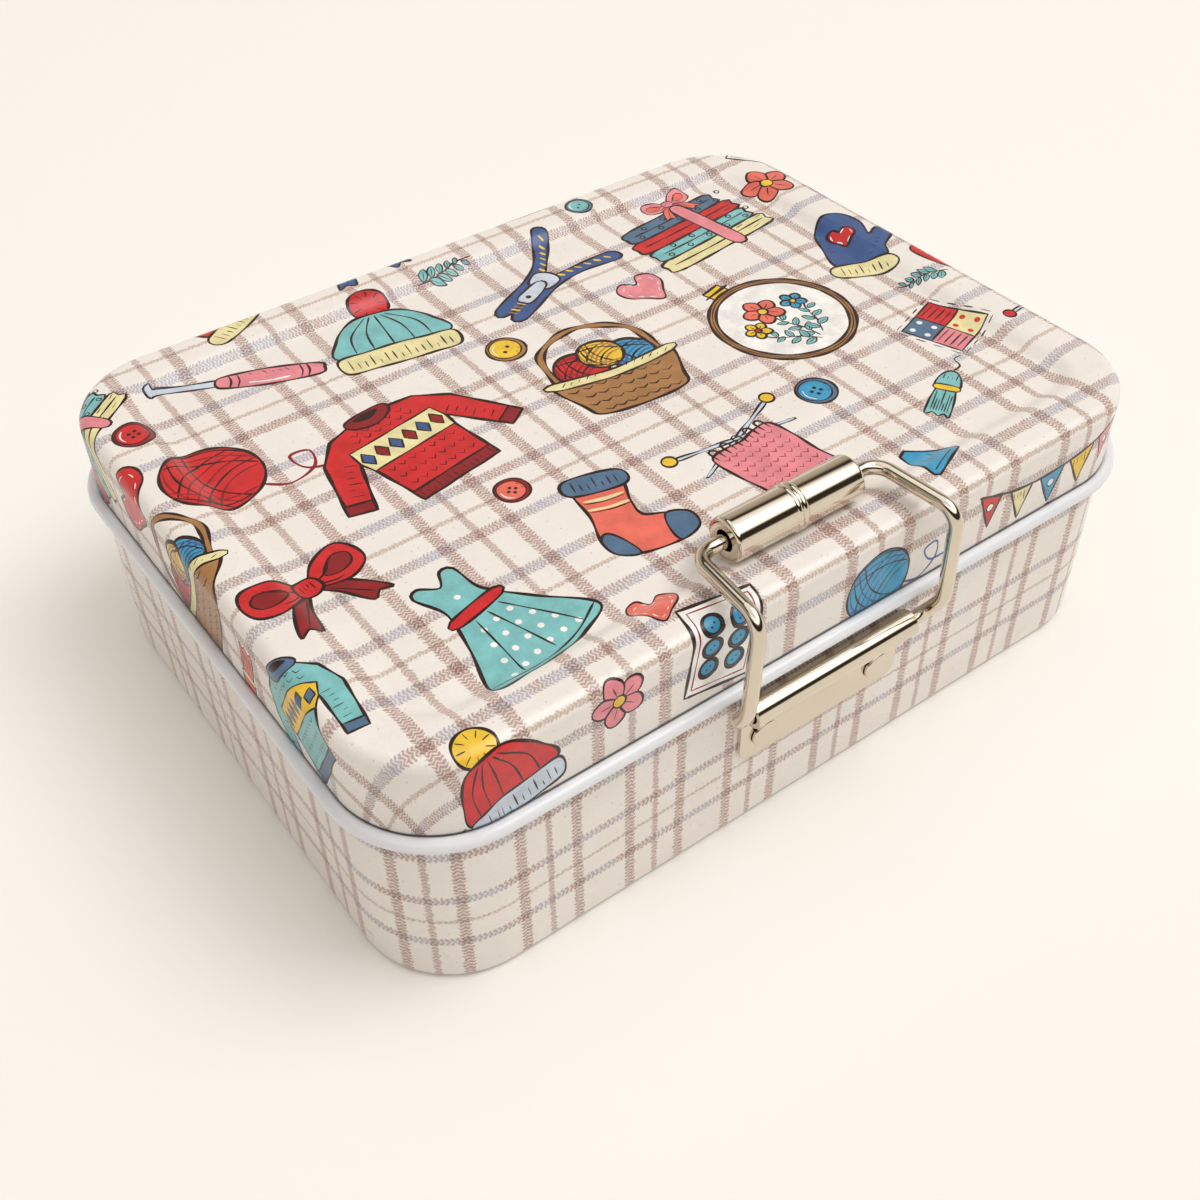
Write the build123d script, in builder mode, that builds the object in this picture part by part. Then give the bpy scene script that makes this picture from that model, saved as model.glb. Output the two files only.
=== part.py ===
from build123d import *
from math import acos, asin, atan, degrees, radians, tan
import os

# A hinged tinplate box with a wire bail handle at the front, closed, with the bail lying on the lid.
# Millimetres, +Z up. The origin is on the table, under the middle of the body.
# The front, with the handle, faces -Y. The two hinges are at the back, on +Y.

# ---- tinplate body ----
body_length = 200.0          # outside of the walls, left to right
body_depth = 150.0           # outside of the walls, front to back
body_corner_radius = 22.0    # upright corners, outside
rim_height = 46.0            # top of the rolled rim above the table
sheet = 0.5                  # printed and lacquered tinplate
bottom_edge_radius = 2.0     # outside radius between wall and bottom
bead_diameter = 4.0          # rolled rim, outside
bead_wrap = 300.0            # degrees of curl, which leaves a slit under the rim

# ---- lid ----
lid_height = 65.0            # top of the lid's raised border above the table
lid_edge_radius = 3.0        # outside radius round the top of the lid
ledge_drop = 0.62            # the lid's step sits this far below the top of the rim, on its shoulder
neck_clearance = 0.25        # between the lid's neck and the inside of the body
neck_depth = 3.5             # neck below the top of the rim
hem_depth = 1.6              # folded edge of the neck
border_width = 10.5          # flat border of the lid, from its outside edge to the step
panel_drop = 2.2             # depth of the middle panel below the border
panel_slope = 4.0            # width of the soft step round the panel
panel_soft_radius = 5.0      # bends at the top and the foot of the step

# ---- front plate ----
plate_width = 44.0
plate_thickness = 1.1
plate_drop = 16.7            # from the knuckle's axis down to the plate's lower edge
plate_corner_radius = 3.5
knuckle_rim_gap = 0.8        # between the knuckle and the rolled rim above it
knuckle_clearance = 0.35     # round the wire, inside the rolled knuckle

# ---- bail and its grip ----
wire_diameter = 3.2
arm_rim_gap = 2.2            # between the arms and the rolled rim that they pass
arm_foot_out = 4.6           # the arms come up this far outside the plate's ends
arm_foot_rise = 1.5          # that bend is this far above the middle of the rolled rim
arm_splay = 1.9              # the arms stand wider over the lid's edge than at the grip
arm_end_out = 7.2            # from the grip's end to the bend beside it
knuckle_turn_out = 4.4       # from the knuckle's end to the bend beside it
knuckle_bend_radius = 4.4
foot_bend_radius = 8.0
bend_radius = 4.4            # over the lid's edge and beside the grip
wire_end_gap = 1.0           # between the wire's two ends, inside the knuckle
grip_length = 33.0
grip_diameter = 9.8
grip_wall = 0.6
grip_hole_clearance = 0.7    # round the wire, in the turned-in ends
grip_end_radius = 0.9
grip_ring_width = 1.5        # each of the two rings at the middle
grip_ring_rise = 0.3
grip_behind_step = 3.3       # centre of the grip behind the front edge of the lid's step
grip_sink = 0.9              # the grip's rings dip this far below the level of the border

# ---- hinges ----
hinge_spread = 104.0         # middle of one hinge to the middle of the other
hinge_width = 26.0
leaf_thickness = 0.8
pin_diameter = 2.0
pin_clearance = 0.05         # in the lid's knuckle
pin_seat_clearance = 0.02    # in the body's knuckles
pin_head_diameter = 3.2
pin_head_height = 0.6
lid_knuckle_width = 10.0
knuckle_gap = 0.3            # between the knuckles, along the pin
rim_clearance = 0.4          # between the hinge and the rolled rim
hinge_axis_rise = 0.6        # axis above the top of the rim
body_leaf_drop = 27.0        # from the top of the rim down to the leaf's lower edge
leaf_turn_drop = 8.5         # from the top of the rim to where the leaf leaves the wall
lid_leaf_drop = 5.0          # from the top of the lid down to the leaf's upper edge
leaf_corner_radius = 2.0
leaf_bend_radius = 1.0
lid_travel = 105.0           # degrees, from closed to the stop
stop_length = 1.2            # tail on the lid's knuckle, which ends the travel
stop_margin = 2.0            # degrees left between tail and leaf at the end of the travel

# ---- rivets ----
plate_rivet_spacing = 31.6
plate_rivet_rise = 6.0       # above the plate's lower edge
plate_rivet_head = 7.0       # diameter
plate_rivet_head_height = 1.0
plate_rivet_shank = 2.6      # diameter
hinge_rivet_spacing = 15.0
hinge_rivet_head = 4.2
hinge_rivet_head_height = 0.8
hinge_rivet_shank = 2.0
rivet_tail_height = 0.6      # clinched over inside the tin
rivet_tail_spread = 1.0      # tail wider than the shank, all round
rivet_clearance = 0.03       # round the shank
body_rivet_rise = 7.0        # above the body leaf's lower edge

os.makedirs("parts", exist_ok=True)

# ---- places that several pieces share ----
front = -body_depth / 2
back = body_depth / 2
inner_length = body_length - 2 * sheet
inner_depth = body_depth - 2 * sheet
inner_radius = body_corner_radius - sheet

bead_radius = bead_diameter / 2
bead_height = rim_height - bead_radius             # centre of the roll
bead_out = bead_radius - sheet                     # centre of the roll, outside the wall's face
rim_reach = bead_out + bead_radius                 # the rim stands out this far from the wall

ledge_height = rim_height - ledge_drop
neck_length = inner_length - 2 * neck_clearance
neck_width = inner_depth - 2 * neck_clearance
neck_radius = inner_radius - neck_clearance
neck_bottom = rim_height - neck_depth
panel_taper = degrees(atan(panel_slope / panel_drop))
panel_grow = sheet * tan(radians(90 - panel_taper) / 2)   # the step seen from below is wider

knuckle_bore = wire_diameter / 2 + knuckle_clearance
knuckle_radius = knuckle_bore + plate_thickness
knuckle_y = front - plate_thickness - knuckle_bore
knuckle_height = rim_height - bead_diameter - knuckle_rim_gap - knuckle_radius
plate_bottom = knuckle_height - plate_drop
plate_rivet_height = plate_bottom + plate_rivet_rise

arm_y = front - rim_reach - arm_rim_gap - wire_diameter / 2
arm_foot_height = bead_height + arm_foot_rise
grip_radius = grip_diameter / 2
grip_y = front + border_width + grip_behind_step
grip_height = lid_height + grip_radius + grip_ring_rise - grip_sink
grip_hole = wire_diameter / 2 + grip_hole_clearance

pin_radius = pin_diameter / 2
barrel_radius = pin_radius + pin_clearance + leaf_thickness
leaf_y = back + rim_reach + rim_clearance + leaf_thickness / 2     # body leaf beside the rim
hinge_y = leaf_y + barrel_radius - leaf_thickness / 2
hinge_height = rim_height + hinge_axis_rise
body_leaf_bottom = rim_height - body_leaf_drop
body_leaf_turn = rim_height - leaf_turn_drop
lid_leaf_top = lid_height - lid_leaf_drop
body_rivet_height = body_leaf_bottom + body_rivet_rise
lid_leaf_level = hinge_height + barrel_radius - leaf_thickness / 2
lid_leaf_foot = lid_leaf_level + leaf_bend_radius                  # its flat part starts here
lid_rivet_height = (lid_leaf_foot + lid_leaf_top) / 2

# Seen from the front and from the back, with the first direction across and the second one up.
front_face = Plane(origin=(0, front, 0), x_dir=(1, 0, 0), z_dir=(0, -1, 0))
back_face = Plane(origin=(0, back, 0), x_dir=(-1, 0, 0), z_dir=(0, 1, 0))


# ---- body: a drawn pan whose edge is rolled outwards ----
rim_line = (Plane.XY.offset(bead_height) * RectangleRounded(body_length, body_depth, body_corner_radius)
            ).face().outer_wire()
rim_section = Plane(origin=rim_line @ 0, x_dir=(rim_line % 0).cross(Vector(0, 0, 1)), z_dir=-(rim_line % 0))

with BuildPart() as body_space:
    with BuildSketch(Plane.XY.offset(sheet)):
        RectangleRounded(inner_length, inner_depth, inner_radius)
    extrude(amount=rim_height)
    fillet(body_space.faces().sort_by(Axis.Z)[0].edges(), bottom_edge_radius - sheet)

with BuildPart() as body_shell:
    with BuildSketch():
        RectangleRounded(body_length, body_depth, body_corner_radius)
    extrude(amount=bead_height)
    fillet(body_shell.faces().sort_by(Axis.Z)[0].edges(), bottom_edge_radius)
    add(body_space.part, mode=Mode.SUBTRACT)
    # The roll starts on top of the wall, goes up, out and round, and stops short of the wall again.
    with BuildSketch(rim_section):
        with BuildLine():
            outside = CenterArc((bead_out, 0), bead_radius, 180, -bead_wrap)
            inside = CenterArc((bead_out, 0), bead_radius - sheet, 180, -bead_wrap)
            Line(outside @ 0, inside @ 0)
            Line(outside @ 1, inside @ 1)
        make_face()
    sweep(path=rim_line)
    # Rivet holes of the front plate and of the hinges.
    with BuildSketch(front_face.offset(sheet)):
        with Locations((0, plate_rivet_height)):
            with GridLocations(plate_rivet_spacing, 0, 2, 1):
                Circle(plate_rivet_shank / 2 + rivet_clearance)
    extrude(amount=-3 * sheet, mode=Mode.SUBTRACT)
    with BuildSketch(back_face.offset(sheet)):
        for hinge_x in (-hinge_spread / 2, hinge_spread / 2):
            with Locations((hinge_x, body_rivet_height)):
                with GridLocations(hinge_rivet_spacing, 0, 2, 1):
                    Circle(hinge_rivet_shank / 2 + rivet_clearance)
    extrude(amount=-3 * sheet, mode=Mode.SUBTRACT)

body_shell.part.label = "body_shell"
export_step(body_shell.part, "parts/body_shell.step")


# ---- lid: the space inside it, then the drawn sheet round that space ----
with BuildPart() as lid_space:
    with BuildSketch(Plane.XY.offset(ledge_height + sheet)):
        RectangleRounded(inner_length, inner_depth, inner_radius)
    extrude(amount=lid_height - ledge_height - 2 * sheet)
    fillet(lid_space.faces().sort_by(Axis.Z)[-1].edges(), lid_edge_radius - sheet)
    with BuildSketch(Plane.XY.offset(lid_height - sheet)):
        RectangleRounded(body_length - 2 * border_width + 2 * panel_grow,
                         body_depth - 2 * border_width + 2 * panel_grow,
                         body_corner_radius - border_width + panel_grow)
    extrude(amount=-panel_drop, taper=panel_taper, mode=Mode.SUBTRACT)
    panel_floor = lid_height - sheet - panel_drop
    fillet(lid_space.edges().filter_by_position(Axis.Z, panel_floor - 0.01, panel_floor + 0.01),
           panel_soft_radius + sheet)
    fillet(lid_space.faces().sort_by(Axis.Z)[-1].inner_wires()[0].edges(), panel_soft_radius - sheet)

with BuildPart() as lid_shell:
    with BuildSketch(Plane.XY.offset(ledge_height)):
        RectangleRounded(body_length, body_depth, body_corner_radius)
    extrude(amount=lid_height - ledge_height)
    fillet(lid_shell.faces().sort_by(Axis.Z)[-1].edges(), lid_edge_radius)
    with BuildSketch(Plane.XY.offset(lid_height)):
        RectangleRounded(body_length - 2 * border_width, body_depth - 2 * border_width,
                         body_corner_radius - border_width)
    extrude(amount=-panel_drop, taper=panel_taper, mode=Mode.SUBTRACT)
    panel_top = lid_height - panel_drop
    fillet(lid_shell.edges().filter_by_position(Axis.Z, panel_top - 0.01, panel_top + 0.01),
           panel_soft_radius)
    fillet(lid_shell.faces().sort_by(Axis.Z)[-1].inner_wires()[0].edges(), panel_soft_radius)
    add(lid_space.part, mode=Mode.SUBTRACT)
    # The wall steps in to a neck, which goes down inside the body and ends in a folded hem.
    with BuildSketch(Plane.XY.offset(neck_bottom)):
        RectangleRounded(neck_length, neck_width, neck_radius)
    extrude(amount=ledge_height + sheet - neck_bottom)
    with BuildSketch(Plane.XY.offset(neck_bottom)):
        RectangleRounded(neck_length - 2 * sheet, neck_width - 2 * sheet, neck_radius - sheet)
    extrude(amount=ledge_height + sheet - neck_bottom, mode=Mode.SUBTRACT)
    with BuildSketch(Plane.XY.offset(neck_bottom)):
        RectangleRounded(neck_length, neck_width, neck_radius)
        RectangleRounded(neck_length - 4 * sheet, neck_width - 4 * sheet, neck_radius - 2 * sheet,
                         mode=Mode.SUBTRACT)
    extrude(amount=hem_depth)
    fillet(lid_shell.faces().sort_by(Axis.Z)[0].edges(), 0.9 * sheet)
    with BuildSketch(back_face.offset(sheet)):
        for hinge_x in (-hinge_spread / 2, hinge_spread / 2):
            with Locations((hinge_x, lid_rivet_height)):
                with GridLocations(hinge_rivet_spacing, 0, 2, 1):
                    Circle(hinge_rivet_shank / 2 + rivet_clearance)
    extrude(amount=-3 * sheet, mode=Mode.SUBTRACT)

lid_shell.part.label = "lid_shell"
export_step(lid_shell.part, "parts/lid_shell.step")


# ---- front plate, rolled over at the top into the knuckle that carries the bail ----
with BuildPart() as handle_plate:
    with BuildSketch(front_face):
        with Locations((0, plate_bottom)):
            Rectangle(plate_width, knuckle_height - plate_bottom, align=(Align.CENTER, Align.MIN))
        fillet(vertices().group_by(Axis.Y)[0], plate_corner_radius)
        with Locations((0, plate_rivet_height)):
            with GridLocations(plate_rivet_spacing, 0, 2, 1):
                Circle(plate_rivet_shank / 2 + rivet_clearance, mode=Mode.SUBTRACT)
    extrude(amount=plate_thickness)
    with BuildSketch(Plane(origin=(0, knuckle_y, knuckle_height), x_dir=(0, 1, 0), z_dir=(1, 0, 0))):
        Circle(knuckle_radius)
    extrude(amount=plate_width / 2, both=True)
    with BuildSketch(Plane(origin=(0, knuckle_y, knuckle_height), x_dir=(0, 1, 0), z_dir=(1, 0, 0))):
        Circle(knuckle_bore)
    extrude(amount=plate_width / 2, both=True, mode=Mode.SUBTRACT)

handle_plate.part.label = "handle_plate"
export_step(handle_plate.part, "parts/handle_plate.step")


# ---- bail: one length of wire, bent to a loop whose ends meet inside the knuckle ----
arm_end_half = grip_length / 2 + arm_end_out
right_side = [
    (wire_end_gap / 2, knuckle_y, knuckle_height),
    (plate_width / 2 + knuckle_turn_out, knuckle_y, knuckle_height),
    (plate_width / 2 + arm_foot_out, arm_y, arm_foot_height),
    (arm_end_half + arm_splay, arm_y, grip_height),
    (arm_end_half, grip_y, grip_height),
]
left_side = [(-x, y, z) for x, y, z in reversed(right_side)]
bends = [knuckle_bend_radius, foot_bend_radius, bend_radius, bend_radius]

with BuildPart() as bail_wire:
    with BuildLine() as wire_line:
        FilletPolyline(*right_side, *left_side, radius=bends + bends[::-1])
    with BuildSketch(Plane(origin=right_side[0], x_dir=(0, 1, 0), z_dir=(1, 0, 0))):
        Circle(wire_diameter / 2)
    sweep(path=wire_line.line)

bail_wire.part.label = "bail_wire"
export_step(bail_wire.part, "parts/bail_wire.step")


# ---- grip: a tube with turned-in ends and two rings round its middle ----
with BuildPart() as grip_sleeve:
    with BuildSketch(Plane(origin=(0, grip_y, grip_height), x_dir=(1, 0, 0), z_dir=(0, 0, 1))):
        with BuildSketch() as grip_outline:
            with Locations((0, grip_hole)):
                Rectangle(grip_length, grip_radius - grip_hole, align=(Align.CENTER, Align.MIN))
            fillet(grip_outline.vertices().group_by(Axis.Y)[-1], grip_end_radius)
        with Locations((-grip_ring_width / 2, grip_radius + grip_ring_rise - grip_ring_width / 2),
                       (grip_ring_width / 2, grip_radius + grip_ring_rise - grip_ring_width / 2)):
            Circle(grip_ring_width / 2)
        with Locations((0, grip_hole)):
            Rectangle(grip_length - 2 * grip_wall, grip_radius - grip_wall - grip_hole,
                      align=(Align.CENTER, Align.MIN), mode=Mode.SUBTRACT)
    revolve(axis=Axis((0, grip_y, grip_height), (1, 0, 0)))

grip_sleeve.part.label = "grip_sleeve"
export_step(grip_sleeve.part, "parts/grip_sleeve.step")


# ---- rivets of the front plate: flat round head outside, clinched tail inside ----
for side, rivet_x in (("left", -plate_rivet_spacing / 2), ("right", plate_rivet_spacing / 2)):
    stack = plate_thickness + sheet
    with BuildPart() as plate_rivet:
        with BuildSketch(front_face.offset(plate_thickness)):
            with Locations((rivet_x, plate_rivet_height)):
                Circle(plate_rivet_head / 2)
        extrude(amount=plate_rivet_head_height)
        fillet(plate_rivet.faces().sort_by(Axis.Y)[0].edges(), 0.6 * plate_rivet_head_height)
        with BuildSketch(front_face.offset(plate_thickness)):
            with Locations((rivet_x, plate_rivet_height)):
                Circle(plate_rivet_shank / 2)
        extrude(amount=-stack)
        with BuildSketch(front_face.offset(-sheet)):
            with Locations((rivet_x, plate_rivet_height)):
                Circle(plate_rivet_shank / 2 + rivet_tail_spread)
        extrude(amount=-rivet_tail_height)
        fillet(plate_rivet.faces().sort_by(Axis.Y)[-1].edges(), 0.5 * rivet_tail_height)
    plate_rivet.part.label = f"plate_rivet_{side}"
    export_step(plate_rivet.part, f"parts/plate_rivet_{side}.step")


# ---- hinges ----
tail_tip = barrel_radius + stop_length
leaf_reach = hinge_y - leaf_y - leaf_thickness / 2      # from the axis to the body leaf's outer face
tail_angle = (lid_travel + stop_margin - 180 + degrees(acos(leaf_reach / tail_tip))
              + degrees(asin(leaf_thickness / 2 / tail_tip)))
slot_width = lid_knuckle_width + 2 * knuckle_gap

for side, hinge_x in (("left", -hinge_spread / 2), ("right", hinge_spread / 2)):
    across = Plane(origin=(hinge_x, 0, 0), x_dir=(0, 1, 0), z_dir=(1, 0, 0))
    at_axis = Plane(origin=(hinge_x, hinge_y, hinge_height), x_dir=(0, 1, 0), z_dir=(1, 0, 0))

    # Body leaf: up the wall, out past the rim, and rolled into the two outer knuckles.
    with BuildPart() as body_leaf:
        with BuildSketch(across):
            with BuildLine():
                FilletPolyline((back + leaf_thickness / 2, body_leaf_bottom),
                               (back + leaf_thickness / 2, body_leaf_turn),
                               (leaf_y, body_leaf_turn + leaf_y - back - leaf_thickness / 2),
                               (leaf_y, hinge_height),
                               radius=leaf_bend_radius)
            trace(line_width=leaf_thickness)
        extrude(amount=hinge_width / 2, both=True)
        with BuildSketch(at_axis):
            Circle(barrel_radius)
        extrude(amount=hinge_width / 2, both=True)
        with BuildSketch(at_axis):
            Circle(pin_radius + pin_seat_clearance)
        extrude(amount=hinge_width / 2, both=True, mode=Mode.SUBTRACT)
        with BuildSketch(at_axis):
            Rectangle(2 * (barrel_radius + knuckle_gap), 2 * (barrel_radius + knuckle_gap))
        extrude(amount=slot_width / 2, both=True, mode=Mode.SUBTRACT)
        fillet(body_leaf.edges().filter_by(Axis.Y).group_by(Axis.Z)[0], leaf_corner_radius)
        with BuildSketch(back_face.offset(leaf_thickness)):
            with Locations((-hinge_x, body_rivet_height)):
                with GridLocations(hinge_rivet_spacing, 0, 2, 1):
                    Circle(hinge_rivet_shank / 2 + rivet_clearance)
        extrude(amount=-leaf_thickness, mode=Mode.SUBTRACT)
    body_leaf.part.label = f"hinge_{side}_body_leaf"
    export_step(body_leaf.part, f"parts/hinge_{side}_body_leaf.step")

    # Lid leaf: from the middle knuckle over the rim to the lid's wall, and up it.
    with BuildPart() as lid_leaf:
        with BuildSketch(across):
            with BuildLine():
                FilletPolyline((hinge_y, lid_leaf_level),
                               (back + leaf_thickness / 2, lid_leaf_level),
                               (back + leaf_thickness / 2, lid_leaf_top),
                               radius=leaf_bend_radius)
            trace(line_width=leaf_thickness)
        extrude(amount=hinge_width / 2, both=True)
        # Beside the middle knuckle the leaf ends short of the body's knuckles.
        with BuildSketch(at_axis):
            Rectangle(2 * (barrel_radius + knuckle_gap), 4 * barrel_radius)
        extrude(amount=hinge_width / 2, both=True, mode=Mode.SUBTRACT)
        with BuildSketch(across):
            with BuildLine():
                Line((hinge_y, lid_leaf_level), (back + 3 * leaf_thickness, lid_leaf_level))
            trace(line_width=leaf_thickness)
        extrude(amount=lid_knuckle_width / 2, both=True)
        with BuildSketch(at_axis):
            Circle(barrel_radius)
            with Locations(Location((0, 0), tail_angle)):
                Rectangle(tail_tip, leaf_thickness, align=(Align.MIN, Align.CENTER))
        extrude(amount=lid_knuckle_width / 2, both=True)
        with BuildSketch(at_axis):
            Circle(pin_radius + pin_clearance)
        extrude(amount=lid_knuckle_width / 2, both=True, mode=Mode.SUBTRACT)
        fillet(lid_leaf.edges().filter_by(Axis.Y).group_by(Axis.Z)[-1], leaf_corner_radius)
        with BuildSketch(back_face.offset(leaf_thickness)):
            with Locations((-hinge_x, lid_rivet_height)):
                with GridLocations(hinge_rivet_spacing, 0, 2, 1):
                    Circle(hinge_rivet_shank / 2 + rivet_clearance)
        extrude(amount=-leaf_thickness, mode=Mode.SUBTRACT)
    lid_leaf.part.label = f"hinge_{side}_lid_leaf"
    export_step(lid_leaf.part, f"parts/hinge_{side}_lid_leaf.step")

    # Pin with a small head at each end.
    with BuildPart() as hinge_pin:
        with BuildSketch(at_axis):
            Circle(pin_radius)
        extrude(amount=hinge_width / 2, both=True)
        for end in (-1, 1):
            with BuildSketch(at_axis.offset(end * hinge_width / 2)):
                Circle(pin_head_diameter / 2)
            extrude(amount=end * pin_head_height)
        fillet(hinge_pin.faces().sort_by(Axis.X)[0].edges(), 0.6 * pin_head_height)
        fillet(hinge_pin.faces().sort_by(Axis.X)[-1].edges(), 0.6 * pin_head_height)
    hinge_pin.part.label = f"hinge_{side}_pin"
    export_step(hinge_pin.part, f"parts/hinge_{side}_pin.step")

    # Two rivets in each leaf.
    for leaf, rivet_height in (("body", body_rivet_height), ("lid", lid_rivet_height)):
        for place, offset_x in (("inner", -1), ("outer", 1)):
            rivet_x = hinge_x + (offset_x if hinge_x > 0 else -offset_x) * hinge_rivet_spacing / 2
            with BuildPart() as hinge_rivet:
                with BuildSketch(back_face.offset(leaf_thickness)):
                    with Locations((-rivet_x, rivet_height)):
                        Circle(hinge_rivet_head / 2)
                extrude(amount=hinge_rivet_head_height)
                fillet(hinge_rivet.faces().sort_by(Axis.Y)[-1].edges(), 0.6 * hinge_rivet_head_height)
                with BuildSketch(back_face.offset(leaf_thickness)):
                    with Locations((-rivet_x, rivet_height)):
                        Circle(hinge_rivet_shank / 2)
                extrude(amount=-(leaf_thickness + sheet))
                with BuildSketch(back_face.offset(-sheet)):
                    with Locations((-rivet_x, rivet_height)):
                        Circle(hinge_rivet_shank / 2 + rivet_tail_spread)
                extrude(amount=-rivet_tail_height)
                fillet(hinge_rivet.faces().sort_by(Axis.Y)[0].edges(), 0.5 * rivet_tail_height)
            name = f"hinge_{side}_{leaf}_rivet_{place}"
            hinge_rivet.part.label = name
            export_step(hinge_rivet.part, f"parts/{name}.step")
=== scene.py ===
# %% [markdown]
# # A hinged tin with a wire bail
#
# The tin is drawn from thin printed steel: a body with a rolled rim, a lid with a sunk panel, a nickel-plated
# bail at the front and two hinges at the back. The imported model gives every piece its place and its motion.
# This lesson dresses that model: the printed sheets are made again as fine meshes that can carry a print, and
# the plated pieces as finer meshes with true bends and tumbled edges.

from math import asin, atan2, ceil, cos, degrees, pi, radians, sin, sqrt

import bmesh
import bpy
import numpy as np
from mathutils import Matrix, Vector
from mathutils.geometry import delaunay_2d_cdt


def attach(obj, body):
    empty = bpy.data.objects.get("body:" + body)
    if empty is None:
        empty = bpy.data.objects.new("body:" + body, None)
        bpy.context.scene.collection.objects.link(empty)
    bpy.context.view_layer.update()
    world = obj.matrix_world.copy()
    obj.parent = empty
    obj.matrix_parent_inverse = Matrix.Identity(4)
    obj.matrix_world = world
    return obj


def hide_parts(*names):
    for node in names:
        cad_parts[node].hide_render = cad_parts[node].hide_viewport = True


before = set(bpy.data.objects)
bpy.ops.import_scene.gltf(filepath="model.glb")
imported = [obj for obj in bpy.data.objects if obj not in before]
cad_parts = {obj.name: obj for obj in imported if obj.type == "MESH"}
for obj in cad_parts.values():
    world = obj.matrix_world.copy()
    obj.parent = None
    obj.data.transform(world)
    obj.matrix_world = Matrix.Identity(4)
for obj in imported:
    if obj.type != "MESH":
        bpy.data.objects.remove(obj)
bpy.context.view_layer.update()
MM = 0.001

# %% [markdown]
# ## The camera
#
# The photograph was taken from the tin's front left, from above. The camera's place, its lens and its three
# angles were found by matching the tin's straight edges. A camera looks along its own -Z, so its axes are
# the picture's right, the picture's up, and the way back from the picture.

# %% Place the camera
CAMERA_PLACE = Vector((-159.4, -217.7, 253.15)) * MM
CAMERA_YAW, CAMERA_PITCH, CAMERA_ROLL = radians(35.92), radians(43.37), radians(0.88)   # right, down, turned
CAMERA_LENS, PICTURE_WIDTH = 43.7, 36.0                                                 # both in mm

forward = Vector((sin(CAMERA_YAW) * cos(CAMERA_PITCH), cos(CAMERA_YAW) * cos(CAMERA_PITCH),
                  -sin(CAMERA_PITCH)))
level = Vector((cos(CAMERA_YAW), -sin(CAMERA_YAW), 0))
right = cos(CAMERA_ROLL) * level + sin(CAMERA_ROLL) * forward.cross(level)
axes = Matrix((right, right.cross(forward), -forward)).transposed()
camera = bpy.data.objects.new("camera", bpy.data.cameras.new("camera"))
camera.data.lens, camera.data.sensor_width, camera.data.clip_start = CAMERA_LENS, PICTURE_WIDTH, 10 * MM
camera.matrix_world = Matrix.Translation(CAMERA_PLACE) @ axes.to_4x4()
scene = bpy.context.scene
scene.collection.objects.link(camera)
scene.camera = camera
print("camera at", [round(x, 3) for x in CAMERA_PLACE])

# %% [markdown]
# ## Helpers for the materials
#
# Shaders work in linear light, but a colour is easier to write as an sRGB hex value, so one function turns
# it. A second one adds a node with its settings and links, so that a material reads as a list of what it is
# made of. Every material ends in the same two nodes, which a third function adds.

# %% Colours and nodes
MATH, MIX, RANGE, NOISE = ("ShaderNode" + kind for kind in ("Math", "Mix", "MapRange", "TexNoise"))


def linear(colour):
    """The linear RGBA of an sRGB hex colour."""
    parts = [int(colour[i:i + 2], 16) / 255 for i in (1, 3, 5)]
    return [c / 12.92 if c <= 0.04045 else ((c + 0.055) / 1.055) ** 2.4 for c in parts] + [1.0]


def add_node(tree, kind, inputs=None, **settings):
    """Add one node. An input is a plain value, a node (its first output) or a pair (node, output)."""
    made = tree.nodes.new(kind)
    for name, value in settings.items():
        setattr(made, name, value)
    for name, value in (inputs or {}).items():
        if isinstance(value, bpy.types.Node):
            value = (value, 0)
        if isinstance(value, tuple) and isinstance(value[0], bpy.types.Node):
            tree.links.new(value[0].outputs[value[1]], made.inputs[name])
        else:
            made.inputs[name].default_value = value
    return made


def new_material(name):
    """An empty node material and its tree."""
    material = bpy.data.materials.new(name)
    material.use_nodes = True
    material.node_tree.nodes.clear()
    return material, material.node_tree


def surface(tree, inputs):
    """The shader with its inputs, and the output."""
    shader = add_node(tree, "ShaderNodeBsdfPrincipled", inputs)
    add_node(tree, "ShaderNodeOutputMaterial", {"Surface": shader})

# %% [markdown]
# ## The studio
#
# A pale paper floor, one large soft lamp from the right and a room of soft light. Polished nickel shows its
# surroundings and little else, so the room has zones: pale walls low down, a dark band above them, and a
# bright ceiling. Behind the tin the walls are brighter and reach higher than on the side from which it is
# seen, so a plated part turns from tan to dark to white across its width. The floor gets its soft shadow
# from the lamp.

# %% Floor, room and lamp
PAPER, BACKDROP, FLOOR_RADIUS = "#F4F1EB", "#FCF6EC", 6.0
# Each zone is (sine of its height, strength, tint).
BEHIND = ((0.0, 0.70, "#FFFBF5"), (0.52, 0.58, "#FAEBD8"), (0.64, 0.45, "#EBDCC6"), (0.69, 0.07, "#D8C4AC"),
          (0.77, 0.09, "#D8C4AC"), (0.82, 1.25, "#FFFDF9"))
BEFORE = ((0.0, 0.56, "#FFFDFA"), (0.12, 0.46, "#FFFDFA"), (0.21, 0.08, "#C8B094"), (0.53, 0.07, "#C8B094"),
          (0.63, 1.95, "#FFFDFB"), (0.82, 1.95, "#FFFDFB"), (0.88, 1.0, "#FFFDF9"), (1.0, 1.0, "#FFFDF9"))
LAMP_PLACE, LAMP_SIZE, LAMP_POWER = Vector((1.15, -0.85, 3.0)), 1.7, 34.0

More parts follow.
